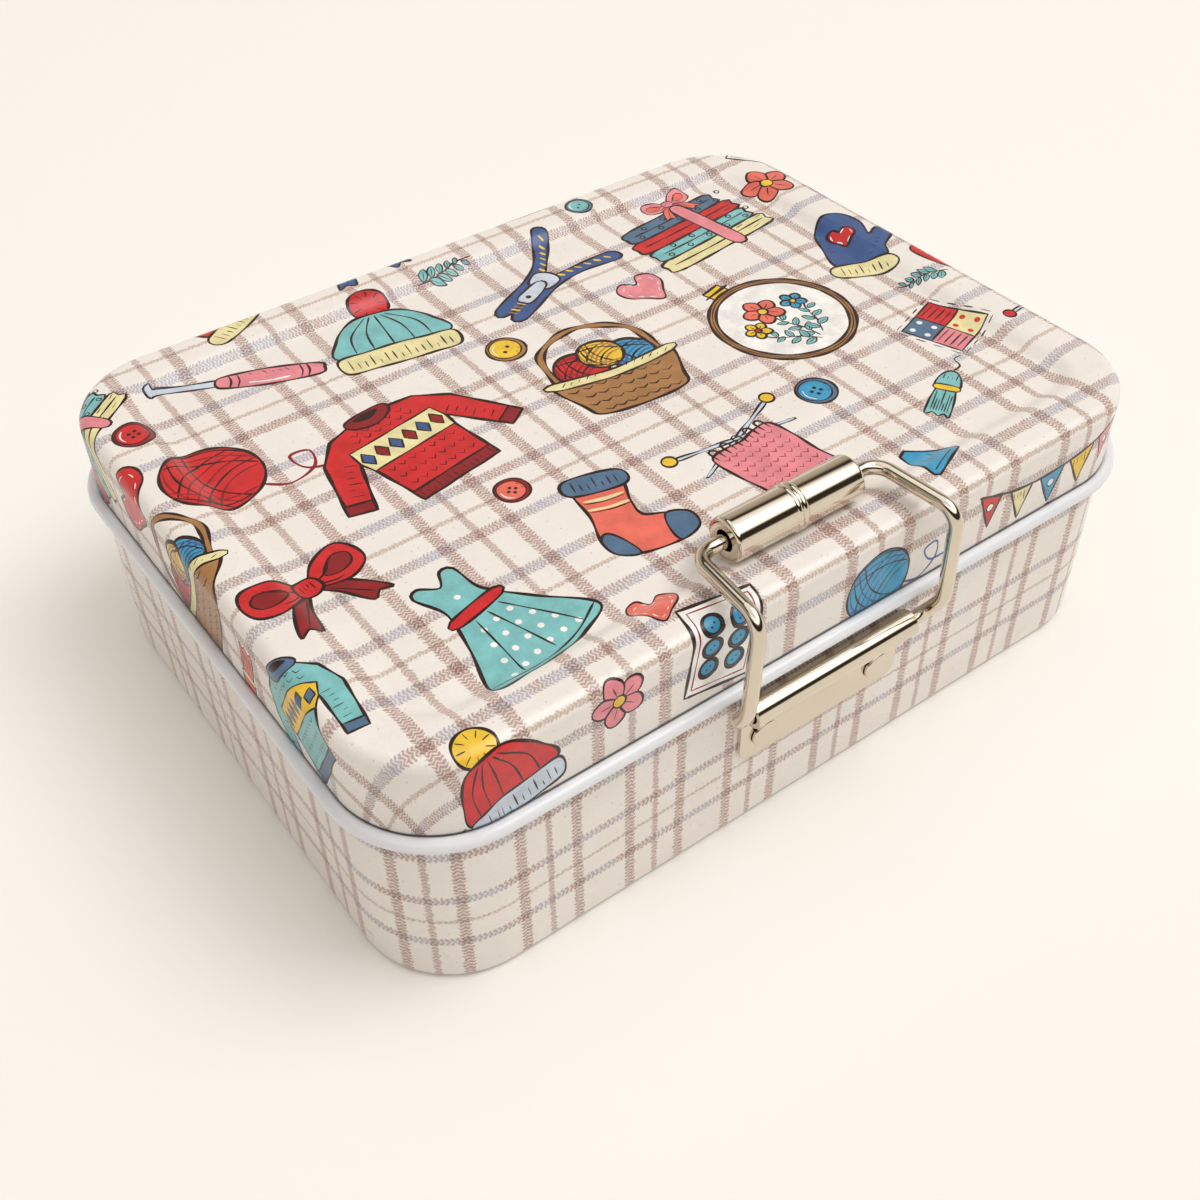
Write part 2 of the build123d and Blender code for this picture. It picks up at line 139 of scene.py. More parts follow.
scene.view_settings.view_transform = "Standard"
scene.world = bpy.data.worlds.new("studio")
scene.world.use_nodes = True
tree = scene.world.node_tree
tree.nodes.clear()
way = add_node(tree, "ShaderNodeTexCoord")
height = add_node(tree, "ShaderNodeSeparateXYZ", {0: (way, "Generated")})
halves = []
for room in (BEFORE, BEHIND):
    zones = add_node(tree, "ShaderNodeValToRGB", {0: (height, "Z")})
    while len(zones.color_ramp.elements) < len(room):
        zones.color_ramp.elements.new(0.5)
    for stop, (place, strength, tint) in zip(zones.color_ramp.elements, room):
        stop.position = place
        stop.color = [c * strength for c in linear(tint)[:3]] + [1]
    halves.append(zones)
turn = add_node(tree, RANGE, {"Value": (height, "Y"), "From Min": -0.25, "From Max": 0.25},
                interpolation_type="SMOOTHSTEP")
sky = add_node(tree, MIX, {0: turn, 6: halves[0], 7: halves[1]}, data_type="RGBA")
# The wall on the left is further off and so a little darker.
left = add_node(tree, RANGE, {"Value": (height, "X"), "From Min": -1.0, "From Max": -0.1, "To Min": 0.6})
sky = add_node(tree, "ShaderNodeBackground", {"Color": (sky, 2), "Strength": left})
# The camera sees a plain backdrop in the colour of the lit floor, and so does metal, below the dark band.
backdrop = add_node(tree, "ShaderNodeBackground", {"Color": linear(BACKDROP)})
low = add_node(tree, RANGE, {"Value": (height, "Z"), "From Min": BEFORE[1][0], "From Max": BEFORE[2][0],
                             "To Min": 1.0, "To Max": 0.0})
ray = add_node(tree, "ShaderNodeLightPath")
shown = add_node(tree, MATH, {0: (ray, "Is Glossy Ray"), 1: (ray, "Is Transmission Ray")}, operation="ADD")
shown = add_node(tree, MATH, {0: shown, 1: low, 2: (ray, "Is Camera Ray")}, operation="MULTIPLY_ADD",
                 use_clamp=True)
sky = add_node(tree, "ShaderNodeMixShader", {0: shown, 1: sky, 2: backdrop})
add_node(tree, "ShaderNodeOutputWorld", {"Surface": sky})

bm = bmesh.new()
bmesh.ops.create_circle(bm, cap_ends=True, segments=64, radius=FLOOR_RADIUS)
floor = bpy.data.objects.new("floor", bpy.data.meshes.new("floor"))
bm.to_mesh(floor.data)
bm.free()
scene.collection.objects.link(floor)
paper, tree = new_material("background_paper_matte")
surface(tree, {"Base Color": linear(PAPER), "Roughness": 0.85, "Specular IOR Level": 0.2})
floor.data.materials.append(paper)

lamp = bpy.data.objects.new("lamp", bpy.data.lights.new("lamp", "AREA"))
lamp.data.energy, lamp.data.size = LAMP_POWER, LAMP_SIZE
lamp.location = LAMP_PLACE
lamp.rotation_euler = (Vector((0, 0, 50 * MM)) - LAMP_PLACE).to_track_quat("-Z", "Y").to_euler()
scene.collection.objects.link(lamp)
print("lamp at", [round(x, 2) for x in LAMP_PLACE])

# %% [markdown]
#
# The sheet was printed flat, with a cream ground and a check of rosy and grey-blue stripes, and varnished.
# Each stripe was drawn as short slanted ticks, close together in its middle and ragged at its sides. So a
# stripe is made here from its distance to the nearest stripe's middle: a fine wave along it and some noise
# push its edge in and out. All lengths are millimetres on the sheet, read from the piece's own UV map.

# %% One set of stripes
LID_TICK, BODY_TICK = 0.85, 1.05        # mm from tick to tick: 0.66 on the sheet, drawn coarser so it shows
TICK_ROW, LEAN, WANDER = 0.8, 0.7, 0.8  # rows of ticks in mm, their slant, and how far noise shifts them


def stripes(tree, across, along, grain, tick_pitch, pitch, place, half):
    """Ink from one set of parallel stripes, 0 to 1. across and along are node outputs in mm, grain is noise;
    pitch and place are the stripes' spacing and shift, and half is half their width. Narrow stripes are
    drawn with closer strokes, so their ticks show less."""
    off = add_node(tree, MATH, {0: across, 1: place}, operation="SUBTRACT")
    off = add_node(tree, MATH, {0: off, 1: pitch / 2}, operation="PINGPONG")
    # The ticks lean one way in one row and the other way in the next.
    rows = add_node(tree, MATH, {0: off, 1: TICK_ROW}, operation="PINGPONG")
    lean = add_node(tree, MATH, {0: rows, 1: LEAN, 2: along}, operation="MULTIPLY_ADD")
    lean = add_node(tree, MATH, {0: grain, 1: WANDER, 2: lean}, operation="MULTIPLY_ADD")
    tick = add_node(tree, MATH, {0: lean, 1: 2 * pi / tick_pitch}, operation="MULTIPLY")
    tick = add_node(tree, MATH, {0: tick}, operation="SINE")
    ragged = add_node(tree, MATH, {0: tick, 1: -0.14 * half, 2: off}, operation="MULTIPLY_ADD")
    ragged = add_node(tree, MATH, {0: grain, 1: -1.1, 2: ragged}, operation="MULTIPLY_ADD")
    edge = add_node(tree, RANGE, {"Value": ragged, "From Min": half + 0.2, "From Max": half - 0.25},
                    interpolation_type="SMOOTHSTEP")
    core = add_node(tree, RANGE, {"Value": tick, "From Min": -1.0, "From Max": 0.5,
                                  "To Min": 0.22 if half > 1.0 else 0.5})
    return add_node(tree, MATH, {0: edge, 1: core}, operation="MULTIPLY")

# %% The check
ROSE, GREY, BROWN = "#C3A9A3", "#C3C4D4", "#CDBBAE"     # what each ink does to the ground under it
GROUND, GROUND_PALE, LINEN, SPECK = "#E9E0D8", "#F3ECE5", "#D6CBC0", "#B79C84"
WEAVE_PITCH = 1.1                                       # mm between the threads of the printed linen
# A thin stripe's width, across the sheet and along it, and its ink, as parts of a wide stripe's.
THIN_ACROSS, THIN_ALONG, THIN_INK = 0.6, 0.42, 0.85


def check_print(tree, tick_pitch, wide_across, wide_along):
    """The cream ground with its check. Each wide set is (pitch, place, half width); a thin stripe lies in
    the middle of every second gap. Gives the colour node, the sheet's UV map in mm and the grain."""
    sheet = add_node(tree, "ShaderNodeUVMap", uv_map="print_mm")
    spot = add_node(tree, "ShaderNodeSeparateXYZ", {0: sheet})
    flat = {"noise_dimensions": "2D"}
    grain = add_node(tree, NOISE, {"Vector": sheet, "Scale": 1.3, "Detail": 1.5}, **flat)
    grain = add_node(tree, MATH, {0: grain, 1: 0.5}, operation="SUBTRACT")
    mottle = add_node(tree, NOISE, {"Vector": sheet, "Scale": 0.09, "Detail": 4.0, "Roughness": 0.6}, **flat)
    # The ground: cream with a faint cloudiness, a hint of linen, and a few specks.
    colour = add_node(tree, MIX, {0: mottle, 6: linear(GROUND), 7: linear(GROUND_PALE)}, data_type="RGBA")
    for lie in (0, 1):
        weave = add_node(tree, MATH, {0: (spot, lie), 1: 2 * pi / WEAVE_PITCH}, operation="MULTIPLY")
        weave = add_node(tree, MATH, {0: weave}, operation="SINE")
        weave = add_node(tree, MATH, {0: weave, 1: grain}, operation="MULTIPLY")
        weave = add_node(tree, MATH, {0: weave, 1: 0.6}, operation="MULTIPLY", use_clamp=True)
        colour = add_node(tree, MIX, {0: weave, 6: (colour, 2), 7: linear(LINEN)}, data_type="RGBA")
    specks = add_node(tree, "ShaderNodeTexVoronoi", {"Vector": sheet, "Scale": 0.16}, voronoi_dimensions="2D")
    specks = add_node(tree, MATH, {0: specks, 1: 0.035}, operation="LESS_THAN")
    specks = add_node(tree, MATH, {0: specks, 1: 0.35}, operation="MULTIPLY")
    colour = add_node(tree, MIX, {0: specks, 6: (colour, 2), 7: linear(SPECK)}, data_type="RGBA")
    # Lengthwise stripes change slowly between grey-blue and rose.
    patchy = add_node(tree, NOISE, {"Vector": sheet, "Scale": 0.075, "Detail": 2.0}, **flat)
    patchy = add_node(tree, RANGE, {"Value": patchy, "From Min": 0.42, "From Max": 0.62})
    mixed = add_node(tree, MIX, {0: patchy, 6: linear(GREY), 7: linear(ROSE)}, data_type="RGBA")
    for lie, (pitch, place, half), wide_ink, thin_ink, thin in (
            (0, wide_across, linear(ROSE), linear(ROSE), THIN_ACROSS),
            (1, wide_along, (mixed, 2), linear(BROWN), THIN_ALONG)):
        for ink, *spacing, strength in ((wide_ink, pitch, place, half, 1.0),
                                        (thin_ink, 2 * pitch, place + pitch / 2, half * thin, THIN_INK)):
            laid = stripes(tree, (spot, lie), (spot, 1 - lie), grain, tick_pitch, *spacing)
            laid = add_node(tree, MATH, {0: laid, 1: strength}, operation="MULTIPLY")
            colour = add_node(tree, MIX, {0: laid, 6: (colour, 2), 7: ink}, data_type="RGBA",
                              blend_type="MULTIPLY")
    return colour, sheet, grain

# %% [markdown]
# ## Varnish
#
# Offset-printed tinplate carries a stoved clear varnish: smooth, a little softer than glass, with the faint
# orange peel of a rolled coat. That gives the eye broad, gentle highlights along the bends.

# %% Printed and varnished tinplate
PEEL, WAVES = 500.0, 45.0               # per metre: an orange peel 2 mm wide on waves 22 mm long


def varnish(tree, colour, roughness):
    """A stoved varnish over a printed colour, its gloss a little uneven."""
    place = add_node(tree, "ShaderNodeTexCoord")
    peel = add_node(tree, NOISE, {"Vector": (place, "Object"), "Scale": PEEL, "Detail": 1.0})
    waves = add_node(tree, NOISE, {"Vector": (place, "Object"), "Scale": WAVES, "Detail": 1.0})
    height = add_node(tree, MATH, {0: waves, 1: 8.0, 2: peel}, operation="MULTIPLY_ADD")
    bump = add_node(tree, "ShaderNodeBump", {"Height": height, "Strength": 0.25, "Distance": 0.06 * MM})
    gloss = add_node(tree, RANGE, {"Value": waves, "From Min": 0.3, "From Max": 0.7,
                                   "To Min": roughness - 0.04, "To Max": roughness + 0.04})
    surface(tree, {"Base Color": (colour, 2), "Roughness": gloss, "IOR": 1.5, "Normal": bump})


BODY_PITCH = 662.23 / 52          # the wall is 662 mm round, and the check meets itself at the back
body_print, tree = new_material("tinplate_offset_printed_check")
colour, *_ = check_print(tree, BODY_TICK, (BODY_PITCH, 1.4, 1.12), (13.3, 12.6, 1.05))
varnish(tree, colour, 0.3)

lid_print, tree = new_material("tinplate_offset_printed_motifs")
colour, sheet, grain = check_print(tree, LID_TICK, (15.6, 5.5, 1.35), (14.5, 4.5, 1.35))
inks = add_node(tree, "ShaderNodeAttribute", attribute_name="ink")
clouds = add_node(tree, NOISE, {"Vector": sheet, "Scale": 0.22, "Detail": 3.0}, noise_dimensions="2D")
uneven = add_node(tree, RANGE, {"Value": clouds, "From Min": 0.3, "From Max": 0.7, "To Min": 0.86,
                                "To Max": 1.08})
uneven = add_node(tree, MATH, {0: grain, 1: 0.12, 2: uneven}, operation="MULTIPLY_ADD")
inked = add_node(tree, "ShaderNodeVectorMath", {0: (inks, "Color"), "Scale": uneven}, operation="SCALE")
colour = add_node(tree, MIX, {0: (inks, "Alpha"), 6: (colour, 2), 7: inked}, data_type="RGBA")
# Painted shade: below 46.5 mm, where the skirt turns in behind the rim, the print is darkened towards near
# black, as the gap between the lid and the rim lies in shadow.
place = add_node(tree, "ShaderNodeTexCoord")
low = add_node(tree, "ShaderNodeSeparateXYZ", {0: (place, "Object")})
low = add_node(tree, RANGE, {"Value": (low, "Z"), "From Min": 46.5 * MM, "From Max": 46 * MM, "To Max": 0.8})
colour = add_node(tree, MIX, {0: low, 6: (colour, 2), 7: linear("#3B332D")}, data_type="RGBA")
varnish(tree, colour, 0.3)

# %% [markdown]
# The sheet's other side is coated white, and the rim shows that side because the edge is rolled outwards.
# The underside of the body is bare tinplate under clear lacquer: bright, faintly grey, with the fine lines
# of the rolling mill along the sheet.

# %% White coating and bare tinplate
white_coat, tree = new_material("tinplate_white_coated")
place = add_node(tree, "ShaderNodeTexCoord")
patches = add_node(tree, NOISE, {"Vector": (place, "Object"), "Scale": 30.0, "Detail": 3.0})
colour = add_node(tree, MIX, {0: patches, 6: linear("#DFE0E3"), 7: linear("#EAEAEC")}, data_type="RGBA")
varnish(tree, colour, 0.22)

bare_tin, tree = new_material("tinplate_clear_lacquered")
place = add_node(tree, "ShaderNodeTexCoord")
along = add_node(tree, "ShaderNodeMapping", {"Vector": (place, "Object"), "Scale": (20.0, 2500.0, 20.0)})
lines = add_node(tree, NOISE, {"Vector": along, "Scale": 1.0, "Detail": 2.0})
colour = add_node(tree, MIX, {0: lines, 6: linear("#BDBAB2"), 7: linear("#D6D3CB")}, data_type="RGBA")
gloss = add_node(tree, RANGE, {"Value": lines, "To Min": 0.22, "To Max": 0.4})
surface(tree, {"Base Color": (colour, 2), "Metallic": 1.0, "Roughness": gloss})

# %% [markdown]
# The hardware is steel with bright nickel plate, tumbled and polished. Nickel is a slightly yellow white
# metal. Close up it has hairlines from handling and a faint ripple from pressing, and its gloss isn't quite
# even.

# %% Nickel plate
nickel, tree = new_material("steel_nickel_plated_polished")
place = add_node(tree, "ShaderNodeTexCoord")
ripple = add_node(tree, NOISE, {"Vector": (place, "Object"), "Scale": 90.0, "Detail": 1.0})
hairlines = add_node(tree, "ShaderNodeMapping", {"Vector": (place, "Object"), "Scale": (60.0, 1900.0, 1900.0),
                                                 "Rotation": (0.0, 0.3, 0.12)})
hairlines = add_node(tree, NOISE, {"Vector": hairlines, "Scale": 1.0, "Detail": 3.0})
bump = add_node(tree, "ShaderNodeBump", {"Height": ripple, "Strength": 0.05, "Distance": 0.08 * MM})
colour = add_node(tree, MIX, {0: ripple, 6: linear("#D2C6B4"), 7: linear("#DDD2C1")}, data_type="RGBA")
gloss = add_node(tree, RANGE, {"Value": hairlines, "From Min": 0.3, "From Max": 0.8, "To Min": 0.05,
                               "To Max": 0.13})
surface(tree, {"Base Color": (colour, 2), "Metallic": 1.0, "Roughness": gloss, "Normal": bump})
print("materials:", len(bpy.data.materials))

# %% [markdown]
# ## Bent sheet metal as a walk
#
# Every sheet here was bent or drawn over a tool, so its cut edge is a chain of straight runs and arcs. It is
# easiest to say as a walk: so far straight on, then so many degrees round a radius. The same walk gives the
# profile of the drawn body and lid, the rolled rim, the knuckles, and the profiles that are turned.

# %% Walk along a profile
def walk(start, heading, moves, arc_step=10):
    """Points of a bent line. A move is (length, 0) for a run or (radius, degrees) for a bend, left positive.
    Gives the points, the heading at each in radians, and the distance walked to it."""
    x, y = start
    angle = radians(heading)
    points, headings, far = [(x, y)], [angle], [0.0]
    for size, bend in moves:
        if bend and not size:                 # a sharp corner
            angle += radians(bend)
            headings[-1] = angle
            continue
        count = max(1, ceil(abs(bend) / arc_step))
        turn = radians(bend) / count
        stride = 2 * size * sin(abs(turn) / 2) if bend else size
        for _ in range(count):
            x += stride * cos(angle + turn / 2)
            y += stride * sin(angle + turn / 2)
            angle += turn
            points.append((x, y))
            headings.append(angle)
            far.append(far[-1] + (size * abs(turn) if bend else size))
    return np.array(points), np.array(headings), np.array(far)


def chain(bm, points):
    """A chain of edges through points in mm."""
    corners = [bm.verts.new(Vector(point) * MM) for point in points]
    return [bm.edges.new(pair) for pair in zip(corners, corners[1:])]


def only(result, kind):
    """The vertices, edges or faces in an operator's result."""
    return [item for item in result if isinstance(item, kind)]


def push(bm, edges, way=(0, 0, 0)):
    """Extrude edges along a way in mm, and give the edges at its far end."""
    new = bmesh.ops.extrude_edge_only(bm, edges=edges)["geom"]
    moved = set(only(new, bmesh.types.BMVert))
    bmesh.ops.translate(bm, vec=Vector(way) * MM, verts=list(moved))
    return [edge for edge in only(new, bmesh.types.BMEdge) if set(edge.verts) <= moved]


def merge(bm):
    bmesh.ops.remove_doubles(bm, verts=bm.verts[:], dist=1e-7)


def mirror(bm, axis):
    bmesh.ops.mirror(bm, geom=bm.verts[:] + bm.edges[:] + bm.faces[:], merge_dist=1e-6, axis=axis)

# %% [markdown]
# A finished mesh becomes a piece in one place: it takes its metal, stands in for its CAD node, and rides on
# the body that moves it. Wide flat faces beside narrow bends would shade as if they were bent too, so the
# normals are weighted by the faces' sizes.

# %% Turn a bmesh into a piece
def new_piece(name, bm, materials, body, node, sharp=35, extra=()):
    merge(bm)
    bmesh.ops.recalc_face_normals(bm, faces=bm.faces[:])
    open_edges = sum(len(edge.link_faces) != 2 for edge in bm.edges)
    mesh = bpy.data.meshes.new(name)
    bm.to_mesh(mesh)
    bm.free()
    for material in materials:
        mesh.materials.append(material)
    mesh.shade_smooth()
    mesh.set_sharp_from_angle(angle=radians(sharp))
    piece = bpy.data.objects.new(name, mesh)
    scene.collection.objects.link(piece)
    for kind, settings in (*extra, ("WEIGHTED_NORMAL", {"keep_sharp": True})):
        modifier = piece.modifiers.new(kind.title(), kind)
        for key, value in settings.items():
            setattr(modifier, key, value)
    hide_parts(node)
    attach(piece, body)
    print(name, len(mesh.polygons), "faces", "open edges:", open_edges)
    return piece

# %% [markdown]
# ## The body
#
# A press draws the body from one sheet: flat bottom, small bend, upright wall, and the edge rolled outwards
# over a bead. The section is the same all round, so it is spun a quarter turn about one corner's centre, run
# straight to the middle of both sides, and mirrored twice. Box modelling would need the same rounded corners
# cut by hand four times.

# %% Draw the body
HALF_LENGTH, HALF_DEPTH, CORNER, SHEET = 100.0, 75.0, 22.0, 0.5      # outside of the walls
SPINE = np.array([HALF_LENGTH - CORNER, HALF_DEPTH - CORNER])        # the corners' centres, (+-78, +-53)
BEAD_MIDDLE, BEAD, BOTTOM_BEND = 44.45, 1.55, 2.0
HAIR = 0.01                                                          # mm, less than any real distance here
body_section, _, _ = walk((0, 0), 0, [
    (CORNER - BOTTOM_BEND, 0), (BOTTOM_BEND, 90), (BEAD_MIDDLE - BOTTOM_BEND, 0),    # outside
    (BEAD - SHEET, -300), (0, 90), (SHEET, 0), (0, 90), (BEAD, 300),                 # the rim and its edge
    (BEAD_MIDDLE - BOTTOM_BEND, 0), (BOTTOM_BEND - SHEET, -90), (CORNER - BOTTOM_BEND, 0)])     # inside
bm = bmesh.new()
first_side = chain(bm, [(SPINE[0] + r, SPINE[1], z) for r, z in body_section])
quarter = bmesh.ops.spin(bm, geom=first_side, cent=Vector((*SPINE, 0)) * MM, axis=(0, 0, 1), angle=pi / 2,
                         steps=24, use_merge=False)
second_side = only(quarter["geom_last"], bmesh.types.BMEdge)
push(bm, first_side, (0, -SPINE[1], 0))
push(bm, second_side, (-SPINE[0], 0, 0))
merge(bm)
# The end of the section, on the corner's centre, drew an edge: that edge sweeps the middle of the floor.
middle = [edge for edge in bm.edges if len(edge.link_faces) == 1 and
          all(v.co.x < (SPINE[0] + HAIR) * MM and abs(v.co.y / MM - SPINE[1]) < HAIR for v in edge.verts)]
push(bm, middle, (0, -SPINE[1], 0))
merge(bm)
mirror(bm, "X")
mirror(bm, "Y")
tin_body = new_piece("tin_body", bm, [body_print, white_coat, bare_tin], "box", "body_shell")

# %% [markdown]
# The print wraps round the wall, so its UV map unrolls the wall: the distance round the corners' arcs one way
# and the height the other, both in millimetres. The print is on the outside of the wall, the bare tinplate
# under the floor, and the white coat everywhere else.

# %% Unroll the print round the wall
def round_the_wall(x, y):
    """Distance round the wall from the middle of the front, in mm."""
    past_x, past_y = max(0, abs(x) - SPINE[0]), max(0, abs(y) - SPINE[1])
    from_middle = min(abs(x), SPINE[0]) + CORNER * atan2(past_x, past_y)
    if past_x:
        from_middle += SPINE[1] - min(abs(y), SPINE[1])
    return from_middle if y < 0 else 2 * SPINE.sum() + pi * CORNER - from_middle


mesh = tin_body.data
unrolled = mesh.uv_layers.new(name="print_mm")
for face in mesh.polygons:
    x, y, z = face.center / MM
    outward = Vector((x - max(-SPINE[0], min(SPINE[0], x)), y - max(-SPINE[1], min(SPINE[1], y)), 0))
    on_wall = z < BEAD_MIDDLE and outward.length < CORNER + HAIR
    printed = on_wall and face.normal.dot(outward) > 1 and face.normal.z < 0.01
    under = face.normal.z < -0.8 and z < SHEET
    face.material_index = 2 if under else 0 if printed else 1
    for corner in face.loop_indices:
        spot = mesh.vertices[mesh.loops[corner].vertex_index].co / MM
        way_round = round_the_wall(spot.x if abs(spot.x) > 1e-6 else 1e-6 * x, spot.y)
        unrolled.data[corner].uv = (way_round * (1 if x > 0 else -1), spot.z)
print("printed wall:", sum(face.material_index == 0 for face in mesh.polygons), "faces")

# %% [markdown]
# ## The pen
#
# The print on the lid was drawn by hand: flat spot colours, then a dark brown line of uneven width over
# them. A picture could carry that, but it would blur close up. Here each fill and each line is a polygon on
# the flat sheet, in millimetres, and the sheet's own mesh is later cut along them, so the print stays sharp
# at any size. Points are complex numbers, because a turn and a change of size are then one multiplication.

# %% Lines and fills
INKS = {"ink": "#2D1512", "red": "#CF2A2D", "wine": "#8E1F24", "coral": "#E8705F", "pink": "#E58A93",
        "blue": "#3E5A8E", "steel": "#54728E", "sky": "#3D9CC4", "teal": "#7FBFBF", "cream": "#E9DDA5",
        "yellow": "#F0C53A", "tan": "#A8794B", "pale": "#CAD4E0", "white": "#F3EFEA"}
WAVER, OVERLAP = 0.28, 3
art = []                   # (ink, polygon), in the order of printing


def drawn(points, closed, soft=True):
    """A line through the points, curved or with corners, with a point about every millimetre."""
    points = np.asarray(points, complex)
    count = len(points)
    runs = []
    for i in range(count if closed else count - 1):
        a, b = points[i], points[(i + 1) % count]
        parts = max(1, ceil(abs(b - a)))
        t = np.arange(parts) / parts
        if soft:
            before = points[i - 1] if closed or i else a
            after = points[(i + 2) % count] if closed or i + 2 < count else b
            runs.append(a + 0.5 * t * (b - before + t * (2 * before - 5 * a + 4 * b - after
                                                         + t * (3 * a - before - 3 * b + after))))
        else:
            runs.append(a + (b - a) * t)
    return np.concatenate(runs if closed else runs + [points[-1:]])


def line(points, width=0.7, ink="ink", closed=False, soft=True):
    """A pen line whose width wavers by WAVER, and which runs out at its ends."""
    path = drawn(points, closed, soft)
    if closed:                                       # the two ends overlap by OVERLAP points
        path = np.roll(path, OVERLAP)
        path = np.append(path, path[:OVERLAP])
    way = np.gradient(path)
    way /= np.maximum(abs(way), 1e-9)
    step = np.arange(len(path))
    half = width / 2 * (1 + WAVER * np.sin(0.55 * step + 1.7 * len(art)))
    if not closed:
        half *= np.minimum(1, 0.4 + 0.3 * np.minimum(step, step[::-1]))
    art.append((ink, np.concatenate([path + 1j * way * half, (path - 1j * way * half)[::-1]])))


def fill(points, ink, width=0.7, soft=True):
    """A spot of colour with the pen line round it."""
    art.append((ink, drawn(points, True, soft)))
    if width:
        line(points, width, closed=True, soft=soft)


def circle(centre, radius, count=14):
    angles = np.arange(count) * 2 * pi / count
    return centre + (radius * np.cos(angles) + 1j * radius * np.sin(angles))


def mirrored(side, points):
    """The points as they are where side is 1, and mirrored left to right where it is -1."""
    return [complex(side * point.real, point.imag) for point in points]


def both(*half):
    """The points, then their mirror images back to the first, with those on the axis only once."""
    return [*half, *mirrored(-1, [point for point in reversed(half) if point.real])]


def hatch(start, end, stroke, count, width=0.4):
    """Short strokes side by side, from start to end, some longer than others."""
    for i in range(count):
        root = start + (end - start) * i / max(1, count - 1)
        line([root, root + stroke * (0.75 + 0.35 * sin(2.4 * i + 1))], width)


def put(motif, x, y, size, turn, *choices):
    """Draw a motif, then size it, turn it and move it to its place."""
    first = len(art)
    motif(*choices)
    for i in range(first, len(art)):
        ink, polygon = art[i]
        art[i] = (ink, polygon * size * np.exp(1j * radians(turn)) + complex(x, y))

# %% [markdown]
# ## The motifs
#
# Things from a work basket, each drawn upright round its own middle at its printed size.

# %% Buttons, wool and ribbon
def button(ink="red", radius=6, rim="wine", holes=4):
    fill(circle(0, radius), rim)
    fill(circle(radius * (-0.04+0.06j), radius * 0.8), ink, 0.45)
    for i in range(holes):
        hole = radius * 0.24 * np.exp(1j * (pi / 4 + i * 2 * pi / holes))
        fill(circle(hole, radius * 0.11, 8), "ink", 0)
    if radius > 4:
        line([radius * 0.66 * np.exp(1j * a) for a in (2.0, 2.5, 3.0, 3.5)], 0.5, "white")
        hatch(radius * (0.3-0.62j), radius * (0.66-0.2j), radius * (-0.02+0.2j), 5, 0.35)


def wool(ink="red", shade="wine", radius=12, tail=True):
    if tail:
        line([radius * p for p in (0.7-0.7j, 1.15-1.0j, 1.75-0.8j, 1.9-0.3j, 1.5-0.25j, 1.6-0.75j,
                                   2.2-1.0j)], 0.75, shade)
    fill(circle(0, radius), ink, 0.8)
    for turn, offsets, rise in (
            (35, (-0.62, -0.42, -0.22, 0.0, 0.2), 0.28), (110, (-0.1, 0.12, 0.34, 0.56), 0.3),
            (-20, (0.3, 0.5, 0.7), 0.22), (160, (0.45, 0.63), 0.2)):
        for offset in offsets:
            half = sqrt(1 - offset ** 2) * 0.95
            line([radius * np.exp(1j * radians(turn)) * complex(s * half, offset + rise * (1 - s * s))
                  for s in (-1, -0.5, 0, 0.5, 1)], 0.5, shade if offset * 10 % 4 < 2 else "ink")


def bow(ink="red", shade="wine"):
    for side in (1, -1):
        fill(mirrored(side, [1-1j, 4-6j, 7-13j, 9.5-11.5j, 12.5-12.5j, 9-6j, 4-0.5j]), shade)
        line(mirrored(side, [3-3j, 6-7j, 9-11j]), 0.4)
        fill(mirrored(side, [0.5, 5+5.5j, 12+7.5j, 15+4j, 14.5-1.5j, 9-4j, 3-2j]), ink)
        fill(mirrored(side, [5+1j, 10+4.5j, 13+3j, 12, 8-1j]), shade, 0.45)
        line(mirrored(side, [2+0.3j, 6+1.5j, 9+4.5j]), 0.45)
        line(mirrored(side, [2.5-0.7j, 6-2.2j, 8-2.2j]), 0.45)
    fill([-2.6+2.2j, 3j, 2.6+2.2j, 3-1.4j, -2.8j, -3-1.4j], ink)
    hatch(-1.4+1.6j, 1.4+1.6j, -0.2-2.4j, 4)


def heart(ink="pink", stitch="white", size=8):
    shape = [size * p for p in both(0.55j, 0.45+1j, 1+0.7j, 1+0.05j, 0.5-0.5j, -1j)]
    fill(shape, ink)
    inner = drawn([p * 0.76 for p in shape], True)
    for i in range(0, len(inner) - 2, 4):
        line(inner[i:i + 3], 0.5, stitch, soft=False)


def tassel(ink="teal", band="yellow"):
    line([13j, 1.5+17j, -1+20j, 0.5+23j], 0.6)
    fill([-4-12j, -2.8+3j, 2.8+3j, 4-12j, 2-11j, 0.5-12.6j, -1.5-11j], ink)
    hatch(-2.5-10j, 2.7-10j, 11j, 7, 0.4)
    fill(both(-3.4+3j, -3.8+8j, -1.5+12.5j), ink)
    hatch(-2.2+8j, 2+8j, 0.2+3j, 4)
    fill(both(-3.6+2j, -3.6+4.6j), band, 0.6)


def sprig(ink="teal", stem="ink", leaves=5):
    line([-12j, 0.8-4j, -0.6+5j, 0.4+12j], 0.7, stem)
    for i in range(leaves):
        for side in (1, -1):
            root = complex(0.2, -8 + 18 * i / leaves + 1.2 * side)
            way = np.exp(1j * (pi / 2 - side * 0.95)) * (6.2 - 0.7 * i)
            fill([root, root + way * (0.45+0.28j), root + way, root + way * (0.5-0.24j)], ink, 0.5)
            line([root, root + way * 0.8], 0.3)


def flower(ink="coral", middle="yellow", radius=7):
    for i in range(5):
        way = radius * np.exp(1j * (i * 2 * pi / 5 + 0.3))
        fill([0, way * (0.6+0.42j), way * (1.05+0.18j), way * (1.05-0.18j), way * (0.6-0.42j)], ink, 0.6)
        line([way * 0.3, way * 0.75], 0.35)
    fill(circle(0, radius * 0.26), middle, 0.5)

